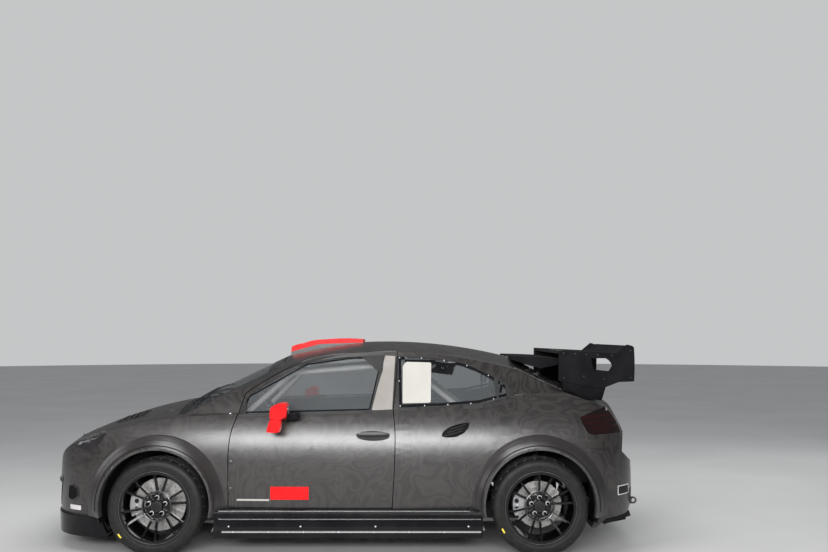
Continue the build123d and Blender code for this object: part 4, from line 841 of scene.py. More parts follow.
@dataclass
class SideTrim:
    """Door furniture, window surrounds, arch lips, blank panels and sill trim of one side."""

    bench: Bench
    side: int
    handle_x: float = 0.2285
    handle_z: float = 0.806
    hinge_x: float = -0.7355
    hinge_heights: tuple[float, float] = (0.440, 0.620)
    skirt_start: float = -0.775
    skirt_end: float = 0.955
    mirror_glass: tuple[float, float] = (0.105, 0.066)

    DOOR_WINDOW = ((-0.6975, 0.934), (-0.6400, 1.064), (-0.2480, 1.286), (0.0485, 1.327), (0.2985, 1.337),
                   (0.2130, 0.959))
    DOOR_PANE = ((-0.6900, 0.942), (-0.6350, 1.059), (-0.2460, 1.278), (0.0485, 1.319), (0.2880, 1.329),
                 (0.2060, 0.966))
    PILLAR_PANEL = ((0.2185, 0.966), (0.3570, 0.968), (0.3745, 1.330), (0.3040, 1.334))
    QUARTER_PANE = ((0.4070, 0.983), (0.3975, 1.325), (0.500, 1.3235), (0.620, 1.316), (0.740, 1.300),
                    (0.850, 1.2775), (0.950, 1.240), (1.040, 1.197), (1.130, 1.141), (1.2015, 1.077),
                    (1.191, 1.064), (0.9565, 1.0105), (0.700, 0.994))
    QUARTER_WINDOW = ((0.4015, 0.976), (0.3920, 1.332), (0.500, 1.3305), (0.620, 1.323), (0.740, 1.307),
                      (0.850, 1.2845), (0.950, 1.247), (1.040, 1.204), (1.130, 1.148), (1.2115, 1.079),
                      (1.198, 1.059), (0.9575, 1.0035), (0.700, 0.987))
    QUARTER_SHEET = ((0.428, 1.010), (0.622, 1.014), (0.628, 1.285), (0.452, 1.290), (0.428, 1.262))
    QUARTER_SCREWS = ((0.412, 0.992), (0.404, 1.160), (0.405, 1.318), (0.560, 1.316), (0.720, 1.2995),
                      (0.880, 1.263), (1.030, 1.195), (1.192, 1.078), (1.060, 1.036), (0.900, 1.006),
                      (0.740, 1.000), (0.580, 0.994))
    INTAKE = ((0.684, 0.790), (0.700, 0.829), (0.748, 0.862), (0.816, 0.882), (0.880, 0.888), (0.894, 0.880),
              (0.886, 0.846), (0.852, 0.806), (0.792, 0.780), (0.724, 0.776))
    SAIL_SCREW = (-0.757, 0.940)
    CORNER_SLOT = ((-1.900, 0.345), (-1.850, 0.335), (-1.800, 0.372), (-1.806, 0.425), (-1.850, 0.452),
                   (-1.893, 0.440))
    DAY_LAMP = ((-1.850, 0.722), (-1.760, 0.797), (-1.640, 0.803), (-1.644, 0.798), (-1.756, 0.791),
                (-1.843, 0.720))
    BEAMS = ((-1.765, 0.752), (-1.700, 0.765))
    TAIL_BARS = (0.835, 0.872, 0.909)
    # name, inner radius, outer radius, reach past the axle's height in degrees, finish, lift
    ARCH_BANDS = (
        ("arch_lip", 0.373, 0.382, 6.0, FLARE_WRAP, 0.0065),
        # The two SEAL_RUBBER bands are painted shade along the flare's steps.
        ("arch_step_shade", 0.3960, 0.3995, 5.0, SEAL_RUBBER, 0.0010),
        ("arch_rib", 0.3995, 0.4060, 5.0, FLARE_WRAP, 0.0050),
        ("arch_shade_line", 0.4330, 0.4360, 3.0, SEAL_RUBBER, 0.0010),
    )

    @property
    def label(self) -> str:
        """The side's name."""
        return SIDE_NAMES[self.side]

    def on(self, body: str, *nodes: str) -> Overlay:
        """An overlay of this side's view on some nodes."""
        return Overlay(self.bench, View.of_side(self.side), body, nodes, f"_{self.label}")

    def door(self) -> None:
        """Adds the pull handle, the pillar panel, the window surround and the blank stripe."""
        body = f"{self.label}_door"
        door = self.on(body, f"door_{self.label}", f"door_glass_{self.label}")
        # The dark oval under the handle is painted shade of its recess.
        door.plate("handle_recess_shade", oval((self.handle_x, 0.7965), 0.225, 0.066, -1.0), SATIN_BLACK,
                   lift=0.0012, step=0.012)
        self._handle(door)
        door.plate("pillar_panel", self.PILLAR_PANEL, PILLAR_TAUPE, corner=0.006, lift=0.0015)
        skin = self.on(body, f"door_{self.label}")
        skin.plate("window_surround", self.DOOR_WINDOW, SEAL_RUBBER, corner=0.010, ring=0.0042,
                   lift=0.0025, step=0.022)
        pane = self.on(body, f"door_glass_{self.label}")
        pane.plate("pane_band", self.DOOR_PANE, GLOSS_BLACK, "satin_black", corner=0.010, ring=0.010,
                   lift=0.0008, step=0.022)
        self._hinge_covers(skin)
        door.plate("stripe_pale", slanted(-0.690, -0.470, 0.364, 0.376, 0.003), PALE_SHEET, lift=0.0006)
        door.plate("stripe_red", slanted(-0.461, -0.202, 0.373, 0.460), RED_GLOSS, corner=0.003,
                   lift=0.0006)
        door.plate("belt_line", strip((-0.716, 0.918), (0.352, 0.9675), 0.006), SEAL_RUBBER, lift=0.0016)

    def _handle(self, door: Overlay) -> None:
        """Adds the pull bar and its two feet, which stand over the painted shade of the recess.

        Args:
            door: Overlay of the door's skin and glass.
        """
        place, normal = door.spots([(self.handle_x, self.handle_z)])[0]
        lean = Matrix.Rotation(math.atan2(normal.z, normal.y * self.side) * -self.side, 4, "X")
        bar = bmesh.new()
        bmesh.ops.create_uvsphere(bar, u_segments=32, v_segments=20, radius=1.0)
        size = Matrix.Diagonal((0.114, 0.013, 0.0165, 1.0))
        shape = Matrix.Translation(place + normal * 0.014) @ lean @ size
        bmesh.ops.transform(bar, matrix=shape, verts=bar.verts[:])
        foot = place + normal * 0.006
        feet = [Maker.block(foot + Vector((reach, 0.0, 0.0)), (0.030, 0.024, 0.020), 0.005, 3, lean)
                for reach in (-0.080, 0.080)]
        self.bench.piece(f"handle_{self.label}", Maker.join([bar, *feet]), FLARE_WRAP, f"{self.label}_door",
                         40.0)

    def _hinge_covers(self, door: Overlay) -> None:
        """Covers the door hinges' notches, where the skin ends at the door's front edge.

        Args:
            door: Overlay of the door's skin.
        """
        covers = []
        for height in self.hinge_heights:
            place, _ = door.spots([(self.hinge_x + 0.0005, height + 0.020)])[0]
            middle = Vector((self.hinge_x, place.y - self.side * 0.0012, height))
            covers.append(Maker.block(middle, (0.026, 0.005, 0.025), 0.0012, 2))
        self.bench.piece(f"hinge_covers_{self.label}", Maker.join(covers), WRAP, f"{self.label}_door")

    def quarter(self) -> None:
        """Adds the quarter window's surround, its blank pale sheet, its screws and the intake behind it."""
        skin = self.on("shell", f"side_frame_{self.label}")
        skin.plate("quarter_surround", self.QUARTER_WINDOW, SEAL_RUBBER, corner=0.008, ring=0.0042,
                   lift=0.0022, step=0.022)
        pane = self.on("shell", "quarter_glass")
        pane.plate("quarter_band", self.QUARTER_PANE, GLOSS_BLACK, "satin_black", corner=0.008, ring=0.018,
                   lift=0.0008, step=0.022)
        whole = self.on("shell", f"side_frame_{self.label}", "quarter_glass")
        whole.plate("quarter_sheet", self.QUARTER_SHEET, PALE_SHEET, "window_glass", corner=0.010,
                    lift=0.0022)
        # The side intake's dark fill is painted shade standing in for the intake's depth.
        whole.plate("side_intake", self.INTAKE, OPENING_SHADE, corner=0.012, lift=0.0012, step=0.012)
        whole.plate("side_intake_rim", self.INTAKE, WRAP, corner=0.014, ring=0.007, lift=0.0045,
                    step=0.012)
        for number in range(3):
            rise = 0.020 * number
            low, high = (0.715 + rise, 0.796 + 0.022 * number), (0.835 + rise * 0.6, 0.828 + rise)
            vane = strip(low, high, 0.005)
            whole.plate(f"intake_vane_{number}", vane, SATIN_BLACK, lift=0.0035, step=0.015)
        whole.heads("quarter_screws", self.QUARTER_SCREWS, (0.0055, 0.0040), 14, 0.7)

    def sail(self) -> None:
        """Adds the round screw of the panel ahead of the door window."""
        panel = self.on("shell", f"side_frame_{self.label}", f"fender_{self.label}", "bulkhead")
        panel.heads("sail_screw", [self.SAIL_SCREW], (0.0085, 0.0035), 18, 0.75)

    def arches(self) -> None:
        """Adds the raised lips of the wheel arches and dark bands of painted shade along the flares' steps.
        """
        for end, axle_x, nodes in (("front", FRONT_AXLE_X, (f"fender_{self.label}", "front_bumper")),
                                   ("rear", REAR_AXLE_X, (f"side_frame_{self.label}", "rear_bumper"))):
            flare = self.on("shell", *nodes)
            middle = (axle_x, AXLE_Z + ARCH_RISE)
            for name, inner, outer, past, finish, lift in self.ARCH_BANDS:
                flare.plate(f"{name}_{end}", arc_band(middle, inner, outer, -past, 180.0 + past, 60), finish,
                            lift=lift, step=0.05)

    def sill(self) -> None:
        """Adds the silver strip, the two beads, the end cap and the screws of the side skirt."""
        skirt = self.on("shell", "side_skirts")
        start, end = self.skirt_start, self.skirt_end
        skirt.plate("skirt_strip", slanted(start, end, 0.1645, 0.1735), SILVER_STRIP, lift=0.003,
                    step=0.06)
        skirt.plate("skirt_shadow", slanted(start, end, 0.1745, 0.1785), SEAL_RUBBER, step=0.06)
        for name, height, radius in (("skirt_bead", 0.3000, 0.0075), ("skirt_rib", 0.2500, 0.0055)):
            line = skirt.spots([(-0.800 + 0.0585 * number, height) for number in range(31)])
            run = Maker.tube([place for place, _ in line], radius)
            self.bench.piece(f"{name}_{self.label}", run, BEAD_BLACK, "shell", 60.0)
        skirt.plate("skirt_cap", slanted(-0.8315, -0.8000, 0.136, 0.262), GLOSS_BLACK, corner=0.010,
                    lift=0.004, step=0.02)
        rows = [(-0.70 + 0.235 * number, 0.1690) for number in range(7)]
        rows += [(x, 0.205) for x in (-0.73, -0.250, 0.250, 0.870)]
        skirt.heads("skirt_screws", rows, (0.0060, 0.0050), 14, 0.75)

    def corners(self) -> None:
        """Adds the slots, filled with painted shade for their depth, the blank plates and the lamps' inner
        parts at the four corners.
        """
        front = self.on("shell", "front_bumper", "splitter")
        # The corner slot's dark fill is painted shade of the opening.
        front.plate("corner_slot", self.CORNER_SLOT, OPENING_SHADE, corner=0.010, lift=0.0012, step=0.015)
        front.plate("corner_slot_rim", self.CORNER_SLOT, WRAP, corner=0.012, ring=0.006, lift=0.004,
                    step=0.015)
        front.plate("front_plate", slanted(-1.880, -1.785, 0.276, 0.308), BLANK_PLATE, corner=0.004,
                    lift=0.0015, step=0.02)
        rear = self.on("shell", "rear_bumper")
        rear.plate("rear_plate", slanted(1.915, 2.015, 0.374, 0.440), BLANK_PLATE, corner=0.006,
                   lift=0.0015, step=0.02)
        rear.plate("rear_plate_field", slanted(1.922, 2.008, 0.381, 0.433), SATIN_BLACK,
                   corner=0.004, lift=0.0022, step=0.02)
        lamps = self.on("shell", "headlamps")
        lamps.plate("day_lamp", self.DAY_LAMP, LAMP_GREY, lift=0.0012, step=0.02)
        for number, spot in enumerate(self.BEAMS):
            lamps.plate(f"beam_rim_{number}", oval(spot, 0.052, 0.040), LAMP_GREY, ring=0.003,
                        lift=0.0010, step=0.015)
        tails = self.on("shell", "tail_lamps")
        for number, height in enumerate(self.TAIL_BARS):
            bar = strip((1.735 - 0.04 * number, height), (1.935, height + 0.018), 0.010)
            tails.plate(f"tail_bar_{number}", bar, LAMP_RED, lift=0.0010, step=0.02)

    def mirror(self) -> None:
        """Adds the mirror's glass."""
        head = Overlay(self.bench, View.REAR, f"{self.label}_door", [f"mirror_{self.label}"],
                       f"_{self.label}")
        head.plate("mirror_glass", oval((self.side * 0.945, 0.975), *self.mirror_glass), LAMP_SILVER,
                   lift=0.0012, step=0.02)

    def build(self) -> None:
        """Adds all the trim of this side."""
        self.door()
        self.quarter()
        self.sail()
        self.arches()
        self.sill()
        self.corners()
        self.mirror()


@dataclass
class CentreTrim:
    """Grille mesh, bonnet vents and pins, screen surrounds, wipers, wing edges and the blank rear plate."""

    bench: Bench
    mesh_pitch: float = 0.055
    mesh_lean: float = 0.045
    mesh_heights: tuple[float, float] = (0.290, 0.460)
    mesh_width: float = 0.0045
    slat_pitch: float = 0.046

    GRILLE_FRAME = ((-0.492, 0.270), (0.492, 0.270), (0.588, 0.482), (-0.588, 0.482))
    NOSE_SLOT = ((-0.330, 0.560), (0.330, 0.560), (0.380, 0.610), (-0.380, 0.610))
    BONNET_PINS = ((-1.905, -0.36), (-1.905, 0.36), (-1.235, -0.50), (-1.235, 0.50))
    WINDSCREEN = ((-1.070, 0.660), (-0.985, 0.676), (-0.455, 0.532), (-0.455, -0.532), (-0.985, -0.676),
                  (-1.070, -0.660))
    SUN_STRIP = ((-0.545, 0.500), (-0.470, 0.500), (-0.470, -0.500), (-0.545, -0.500))
    REAR_SCREEN = ((-0.530, 1.114), (-0.495, 1.222), (0.495, 1.222), (0.530, 1.114))
    BUMPER_INSERT = ((-0.560, 0.300), (0.560, 0.300), (0.620, 0.400), (-0.620, 0.400))
    # foot and tip of the arm, start and end of the blade
    WIPERS = (((-1.085, -0.40), (-0.985, -0.06), (-1.020, -0.33), (-0.930, 0.22)),
              ((-1.095, 0.08), (-0.995, 0.40), (-1.030, 0.14), (-0.950, 0.60)))
    WING_RIVETS = ((1.560, 1.352), (1.640, 1.348), (1.720, 1.344), (1.800, 1.340), (1.900, 1.336),
                   (1.560, 1.180), (1.700, 1.190), (1.840, 1.170), (2.030, 1.180), (2.030, 1.370))
    WING_WINDOW = ((1.7655, 1.2350), (1.7520, 1.3190), (1.8570, 1.3200), (1.9050, 1.2620), (1.8790, 1.2220))

    def build(self) -> None:
        """Adds all the trim on the car's middle."""
        self.grille()
        self.bonnet()
        self.screens()
        self.wipers()
        self.tail()
        self.wing()

    def on(self, view: View, body: str, *nodes: str, ending: str = "") -> Overlay:
        """An overlay in some view on some nodes."""
        return Overlay(self.bench, view, body, nodes, ending)

    def grille(self) -> None:
        """Weaves the mesh of the front opening, and adds its frame and the slim slot above it."""
        opening = self.on(View.FRONT, "shell", "grille")
        low, high = self.mesh_heights
        bars = []
        for number in range(-9, 10):
            middle = self.mesh_pitch * number
            for lean, lift in ((self.mesh_lean, 0.0060), (-self.mesh_lean, 0.0035)):
                bar = strip((middle - lean, low), (middle + lean, high), self.mesh_width)
                bars.append(opening.sheet(bar, step=0.05, lift=lift, sink=0.0))
        self.bench.piece("grille_mesh", Maker.join(bars), SATIN_BLACK, "shell", 40.0)
        bumper = self.on(View.FRONT, "shell", "front_bumper")
        bumper.plate("grille_frame", self.GRILLE_FRAME, GLOSS_BLACK, ring=0.012, corner=0.012,
                     lift=0.003, step=0.04)
        # The slot above the grille is filled with painted shade of the opening.
        bumper.plate("nose_slot", self.NOSE_SLOT, OPENING_SHADE, corner=0.015, lift=0.0012)

    def bonnet(self) -> None:
        """Adds the two louvred vents and the four pins of the bonnet."""
        lid = self.on(View.TOP, "bonnet_lid", "bonnet")
        for side, label in SIDE_NAMES.items():
            vent = [(-1.640, side * 0.250), (-1.640, side * 0.470), (-1.430, side * 0.530),
                    (-1.430, side * 0.300)]
            # Each vent's dark fill is painted shade under the slats.
            lid.plate(f"bonnet_vent_{label}", vent, OPENING_SHADE, corner=0.015, lift=0.0012)
            lid.plate(f"bonnet_vent_rim_{label}", vent, WRAP, corner=0.017, ring=0.010, lift=0.005)
            for number in range(4):
                x = -1.612 + self.slat_pitch * number
                inner, outer = side * (0.268 + 0.010 * number), side * (0.462 + 0.012 * number)
                lid.plate(f"vent_slat_{label}_{number}", strip((x, inner), (x + 0.012, outer), 0.016), WRAP,
                          lift=0.0075)
        spots = lid.spots(self.BONNET_PINS)
        pins = Maker.join([Maker.studs(spots, 0.024, 0.0025, 28, 0.92),
                           Maker.studs(spots, 0.007, 0.010, 16, 0.8)])
        self.bench.piece("bonnet_pins", pins, FRAME_STEEL, "bonnet_lid", 30.0, slot="upright_metal")

    def screens(self) -> None:
        """Adds the dark bands round the windscreen and the rear screen."""
        front = self.on(View.TOP, "shell", "windscreen")
        front.plate("windscreen_band", self.WINDSCREEN, SEAL_RUBBER, corner=0.012, ring=0.022,
                    lift=0.0015, step=0.04)
        front.plate("sun_strip", self.SUN_STRIP, GLOSS_BLACK, corner=0.006, lift=0.0010, step=0.04)
        rear = self.on(View.REAR, "hatch", "rear_screen")
        rear.plate("rear_screen_band", self.REAR_SCREEN, SEAL_RUBBER, corner=0.012, ring=0.018, step=0.04)

    def wipers(self) -> None:
        """Adds two wipers that lie on the windscreen."""
        screen = self.on(View.TOP, "shell", "windscreen", "bulkhead")
        for number, (foot, tip, start, end) in enumerate(self.WIPERS):
            screen.plate(f"wiper_arm_{number}", strip(foot, tip, 0.016), SATIN_BLACK, corner=0.003,
                         lift=0.018, sink=-0.006)
            screen.plate(f"wiper_blade_{number}", strip(start, end, 0.010), SEAL_RUBBER,
                         corner=0.002, lift=0.012, sink=-0.0005)
            pivot = Maker.studs(screen.spots([foot]), 0.016, 0.024, 20, 0.8)
            self.bench.piece(f"wiper_pivot_{number}", pivot, SATIN_BLACK, "shell")

    def tail(self) -> None:
        """Adds the blank plate, the handle, the bumper's dark insert and the pale edges of the tail."""
        gate = self.on(View.REAR, "hatch", "tailgate")
        gate.plate("rear_blank_plate", slanted(-0.26, 0.26, 0.760, 0.872), BLANK_PLATE, corner=0.008,
                   lift=0.0025, step=0.05)
        gate.plate("rear_plate_frame", slanted(-0.268, 0.268, 0.752, 0.880), SATIN_BLACK,
                   corner=0.010, ring=0.009, lift=0.0045, step=0.05)
        gate.plate("gate_handle", slanted(-0.130, 0.130, 0.905, 0.930), SATIN_BLACK, corner=0.008,
                   lift=0.006)
        bumper = self.on(View.REAR, "shell", "rear_bumper")
        bumper.plate("bumper_insert", self.BUMPER_INSERT, SATIN_BLACK, corner=0.020, lift=0.0015,
                     step=0.04)
        for side in (LEFT, RIGHT):
            label = SIDE_NAMES[side]
            edge = self.on(View.of_side(side), "hatch", "tailgate", f"side_frame_{label}",
                           ending=f"_{label}")
            edge.plate("tail_edge", strip((1.640, 1.088), (1.735, 1.052), 0.014), PALE_SHEET,
                       lift=0.003, step=0.02)

    def wing(self) -> None:
        """Adds the rivets and the windows' rims of the end plates, and the spoiler's bright edge."""
        for side in (LEFT, RIGHT):
            end = self.on(View.of_side(side), "hatch", "rear_wing", ending=f"_{SIDE_NAMES[side]}")
            end.heads("wing_rivets", self.WING_RIVETS, (0.0065, 0.0035), 14, 0.7, LAMP_GREY)
            end.plate("wing_window_rim", self.WING_WINDOW, GLOSS_BLACK, ring=0.004)
        top = self.on(View.TOP, "hatch", "rear_wing")
        top.plate("spoiler_edge", slanted(1.640, 1.652, -0.485, 0.485), SILVER_STRIP, step=0.05)


@dataclass
class Cabin:
    """Seat pads, the dashboard's display and its switches."""

    bench: Bench
    seat_y: float = 0.36
    panel_lean: float = -28.0
    channel_width: float = 0.035
    channel_depth: float = 0.34
    bolster: float = 0.30
    pull: float = 0.035
    cells: int = 44

    # name, middle as X and Z, length and width, thickness, lean in degrees, channels
    PADS = (
        ("seat_pan_pad", (-0.130, 0.356), (0.370, 0.400), 0.070, 5.6, (-0.30, 0.28)),
        ("seat_back_pad", (0.155, 0.640), (0.560, 0.400), 0.062, -77.4, (-0.55, -0.10, 0.35)),
        ("head_pad", (0.238, 0.965), (0.130, 0.300), 0.046, -74.0, ()),
    )
    # name, middle, size, edge radius, finish
    BOXES = (
        ("driver_display", (-0.655, -0.36, 0.925), (0.016, 0.170, 0.085), 0.006, GLOSS_BLACK),
        ("switch_box", (-0.640, 0.02, 0.900), (0.050, 0.200, 0.110), 0.010, INNER_PAINT),
    )

    def build(self) -> None:
        """Upholsters both seats and fits the driver's display and the switches."""
        for side in (LEFT, RIGHT):
            for name, (x, z), size, thickness, lean, channels in self.PADS:
                place = Matrix.Translation((x, side * self.seat_y, z))
                turn = Matrix.Rotation(math.radians(lean), 4, "Y")
                mesh = self.cushion(size, thickness, channels)
                bmesh.ops.transform(mesh, matrix=place @ turn, verts=mesh.verts[:])
                made = self.bench.piece(f"{name}_{SIDE_NAMES[side]}", mesh, SEAT_CLOTH, "shell", 60.0)
        turn = Matrix.Rotation(math.radians(self.panel_lean), 4, "Y")
        for name, middle, size, edge, finish in self.BOXES:
            self.bench.piece(name, Maker.block(middle, size, edge, 3, turn), finish, "shell",
                             slot="satin_black")
        spots = [(Vector((-0.6170, 0.02 + 0.034 * across, 0.902 + 0.030 * up)), Vector((0.883, 0.0, 0.469)))
                 for across in range(-2, 3) for up in (0, 1)]
        self.bench.piece("switches", Maker.studs(spots, 0.006, 0.012), BRIGHT_ALLOY, "shell",
                         slot="satin_black")

    def cushion(self, size: tuple[float, float], thickness: float, channels: Sequence[float]) -> BMesh:
        """A stuffed pad in the XY plane, crowned, with its sides pulled in and channels sewn across it.

        Args:
            size: Length along X and width along Y.
            thickness: Height at the crown.
            channels: Places of the sewn channels along X, from minus one to one.

        Returns:
            The closed mesh.
        """
        mesh = bmesh.new()
        bmesh.ops.create_grid(mesh, x_segments=self.cells, y_segments=self.cells, size=1.0)
        made = bmesh.ops.duplicate(mesh, geom=mesh.verts[:] + mesh.edges[:] + mesh.faces[:])["geom"]
        under = {item for item in made if isinstance(item, bmesh.types.BMVert)}
        bmesh.ops.reverse_faces(mesh, faces=[item for item in made if isinstance(item, bmesh.types.BMFace)])
        for vertex in mesh.verts:
            u, v = vertex.co.x, vertex.co.y
            crown = ((1.0 - abs(u) ** 5) * (1.0 - abs(v) ** 5)) ** 0.42
            sewn = min(1.0, sum(math.exp(-((u - spot) / self.channel_width) ** 2) for spot in channels))
            rise = thickness * (0.5 + self.bolster * abs(v) ** 3) * crown * (1.0 - self.channel_depth * sewn)
            fall = -thickness * 0.30 * crown
            pull_u = 1.0 - self.pull * (1.0 - v * v) * abs(u)
            pull_v = 1.0 - self.pull * (1.0 - u * u) * abs(v)
            vertex.co = Vector((u * pull_u * size[0] / 2.0, v * pull_v * size[1] / 2.0,
                                fall if vertex in under else rise))
        bmesh.ops.remove_doubles(mesh, verts=mesh.verts[:], dist=1e-5)
        bmesh.ops.recalc_face_normals(mesh, faces=mesh.faces[:])
        return mesh


@dataclass
class BodyShell:
    """Painted panels, screens and lamps."""

    bench: Bench

    PAINTED = ("bonnet", "front_bumper", "fender_left", "fender_right", "door_left", "door_right",
               "roof_panel", "tailgate", "rear_bumper", "side_frame_left", "side_frame_right")
    GLAZED = (
        ("door_glass_left", TINTED_GLASS),
        ("door_glass_right", TINTED_GLASS),
        ("quarter_glass", TINTED_GLASS),
        ("rear_screen", TINTED_GLASS),
        ("windscreen", SCREEN_GLASS),
        ("headlamps", DARK_LENS),
        ("tail_lamps", TAIL_LENS),
    )
    FLARE_INNER, FLARE_LIP, FLARE_OUTER = 0.352, 0.386, 0.464
    FLARE_Y = 0.835
    FLARE_FACING, FLARE_TOP = 0.2, 0.42
    WINDOW_Y = 0.55
    WINDOW_FRONT, WINDOW_REAR = -0.70, 1.21
    WINDOW_LOW, WINDOW_HIGH = 0.93, 1.335
    CORE_SHARE, CORE_Z = 0.8, 0.5
    INWARD = -0.15

    def build(self) -> None:
        """Wraps the outer panels, paints their inner faces dark, and fits the glass and the lamps."""
        for node in self.PAINTED:
            self.bench.dress(node, [WRAP, INNER_PAINT, FLARE_WRAP, SEAL_RUBBER], sharp=11.0,
                             zone=self._zone)
        for node, finish in self.GLAZED:
            self.bench.dress(node, finish)

    def _zone(self, centre: Vector, normal: Vector) -> int:
        """The finish of one face of a painted panel.

        Args:
            centre: Middle of the face.
            normal: Its normal.

        Returns:
            Zero on the outside, one on a face that looks into the car, two on a wheel arch's flare and three
            on the walls of the side windows' openings.
        """
        for axle_x in (FRONT_AXLE_X, REAR_AXLE_X):
            spoke = Vector((centre.x - axle_x, 0.0, centre.z - AXLE_Z - ARCH_RISE))
            radius = spoke.length
            facing = normal.y * math.copysign(1.0, centre.y) > self.FLARE_FACING
            if self.FLARE_INNER < radius < self.FLARE_OUTER and abs(centre.y) > self.FLARE_Y and facing:
                if radius < self.FLARE_LIP or normal.dot(spoke.normalized()) > self.FLARE_TOP:
                    return 2
        beside = abs(centre.y) > self.WINDOW_Y and self.WINDOW_FRONT < centre.x < self.WINDOW_REAR
        if beside and self.WINDOW_LOW < centre.z < self.WINDOW_HIGH and abs(normal.y) < 0.3:
            if abs(normal.x) + abs(normal.z) > 0.8 and normal.z < 0.97:
                return 3
        core = Vector((self.CORE_SHARE * centre.x, 0.0, self.CORE_Z))
        return int(normal.dot((centre - core).normalized()) < self.INWARD)


@dataclass
class Underpinnings:
    """Floor, frames, engine, housings and brakes' uprights, which show from below and through the wheels."""

    bench: Bench
    caliper_back: float = 0.150
    pot_rises: tuple[float, ...] = (-0.027, 0.027)
    bolt_rises: tuple[float, ...] = (-0.060, 0.0, 0.060)

    PLAIN = (
        ("grille", DARK_MESH),
        ("floor_pan", FLOOR_GREY),
        ("front_subframe", FRAME_STEEL),
        ("engine", ENGINE_CAST),
        ("splitter", GLOSS_BLACK),
        ("side_skirts", GLOSS_BLACK),
        ("diffuser", GLOSS_BLACK),
        ("rear_wing", WING_BLACK),
        ("wheel_housings", SATIN_BLACK),
        ("dashboard", SATIN_BLACK),
        ("steering_wheel", GRIP_SUEDE),
        ("roll_cage", CAGE_WHITE),
        ("exhaust", EXHAUST_STEEL),
    )
    CALIPER_Y = 0.70
    STRUT_Z = 0.50
    MIRROR_ARM_X, MIRROR_ARM_Y = -0.335, 0.875
    COWL_Z = 0.90
    HOOD_PEAK = (-0.211, 1.411)
    HOOD_SLOPES = (0.269, 0.036)
    SCOOP_MOUTH_Y = 0.1385
    SCOOP_THROAT_X = -0.36

    def dress(self) -> None:
        """Finishes the nodes whose shape is already right, and adds the calipers' pots and bolts."""
        for node, finish in self.PLAIN:
            self.bench.dress(node, finish)
        for name in SIDE_NAMES.values():
            self.bench.dress(f"knuckle_{name}", [CAST_ALLOY, CALIPER_WHITE, SATIN_BLACK],
                             zone=self._knuckle_zone)
            self.bench.dress(f"mirror_{name}", [RED_GLOSS, GLOSS_BLACK], zone=self._mirror_zone)
        self.bench.dress("rear_subframe", [FRAME_STEEL, CALIPER_WHITE],
                         zone=self._rear_caliper_zone)
        self.bench.dress("seats", SEAT_SHELL)
        self.bench.dress("bulkhead", [FLOOR_GREY, SATIN_BLACK], zone=self._cowl_zone)
        peak_x, peak_z = self.HOOD_PEAK
        lines = [(Vector((peak_x, 0.0, peak_z)), Vector((-slope, 0.0, 1.0)).normalized())
                 for slope in self.HOOD_SLOPES]
        self.bench.dress("roof_scoop", [RED_GLOSS, SATIN_BLACK, WRAP], zone=self._scoop_zone,
                         cuts=lines)
        for side, name in SIDE_NAMES.items():
            self.pots(f"front_{name}", side, FRONT_AXLE_X, f"knuckle_{name}", f"{name}_knuckle")
            self.pots(f"rear_{name}", side, REAR_AXLE_X, "rear_subframe", "shell")

    def pots(self, label: str, side: int, axle_x: float, node: str, body: str) -> None:
        """Adds the two pots and the three bolts on a caliper's outer face.

        Args:
            label: End and side, for the pieces' names.
            side: Side of the car.
            axle_x: X of the axle.
            node: Node that holds the caliper.
            body: Body that the caliper rides on.
        """
        face = Overlay(self.bench, View.of_side(side), body, [node], f"_{label}")
        middle = axle_x - self.caliper_back
        face.heads("caliper_pots", [(middle, AXLE_Z + rise) for rise in self.pot_rises], (0.0165, 0.003), 28,
                   0.9, SATIN_BLACK)
        face.heads("caliper_bolts", [(middle + 0.004, AXLE_Z + rise) for rise in self.bolt_rises],
                   (0.0065, 0.006), 6, 0.85)

    def _knuckle_zone(self, centre: Vector, _: Vector) -> int:
        """Two on the strut, one on the caliper, which sits ahead of the axle, and zero elsewhere."""
        caliper = centre.x < FRONT_AXLE_X - 0.115 and abs(centre.y) > self.CALIPER_Y
        return 2 if centre.z > self.STRUT_Z else int(caliper)

    def _rear_caliper_zone(self, centre: Vector, _: Vector) -> int:
        """One on the rear calipers and zero elsewhere."""
        return int(-0.20 < centre.x - REAR_AXLE_X < -0.09 and abs(centre.y) > self.CALIPER_Y)

    def _mirror_zone(self, centre: Vector, _: Vector) -> int:
        """One on the arm, which reaches back to the door, and zero on the head."""
        return int(centre.x > self.MIRROR_ARM_X or abs(centre.y) < self.MIRROR_ARM_Y)

    def _cowl_zone(self, centre: Vector, _: Vector) -> int:
        """One on the cowl under the windscreen and zero on the bulkhead."""
        return int(centre.z > self.COWL_Z)

    def _scoop_zone(self, centre: Vector, normal: Vector) -> int:
        """The finish of one face of the roof scoop.

        Args:
            centre: Middle of the face.
            normal: Its normal.

        Returns:
            One in the mouth, two on the side below the hood, and zero on the red hood.
        """
        peak_x, peak_z = self.HOOD_PEAK
        line = peak_z + min((centre.x - peak_x) * slope for slope in self.HOOD_SLOPES)
        walls = abs(normal.y) > 0.7 or normal.x < -0.7 and centre.x > self.SCOOP_THROAT_X
        if abs(centre.y) < self.SCOOP_MOUTH_Y and walls or normal.z < -0.3:
            return 1
        return 2 if centre.z < line else 0


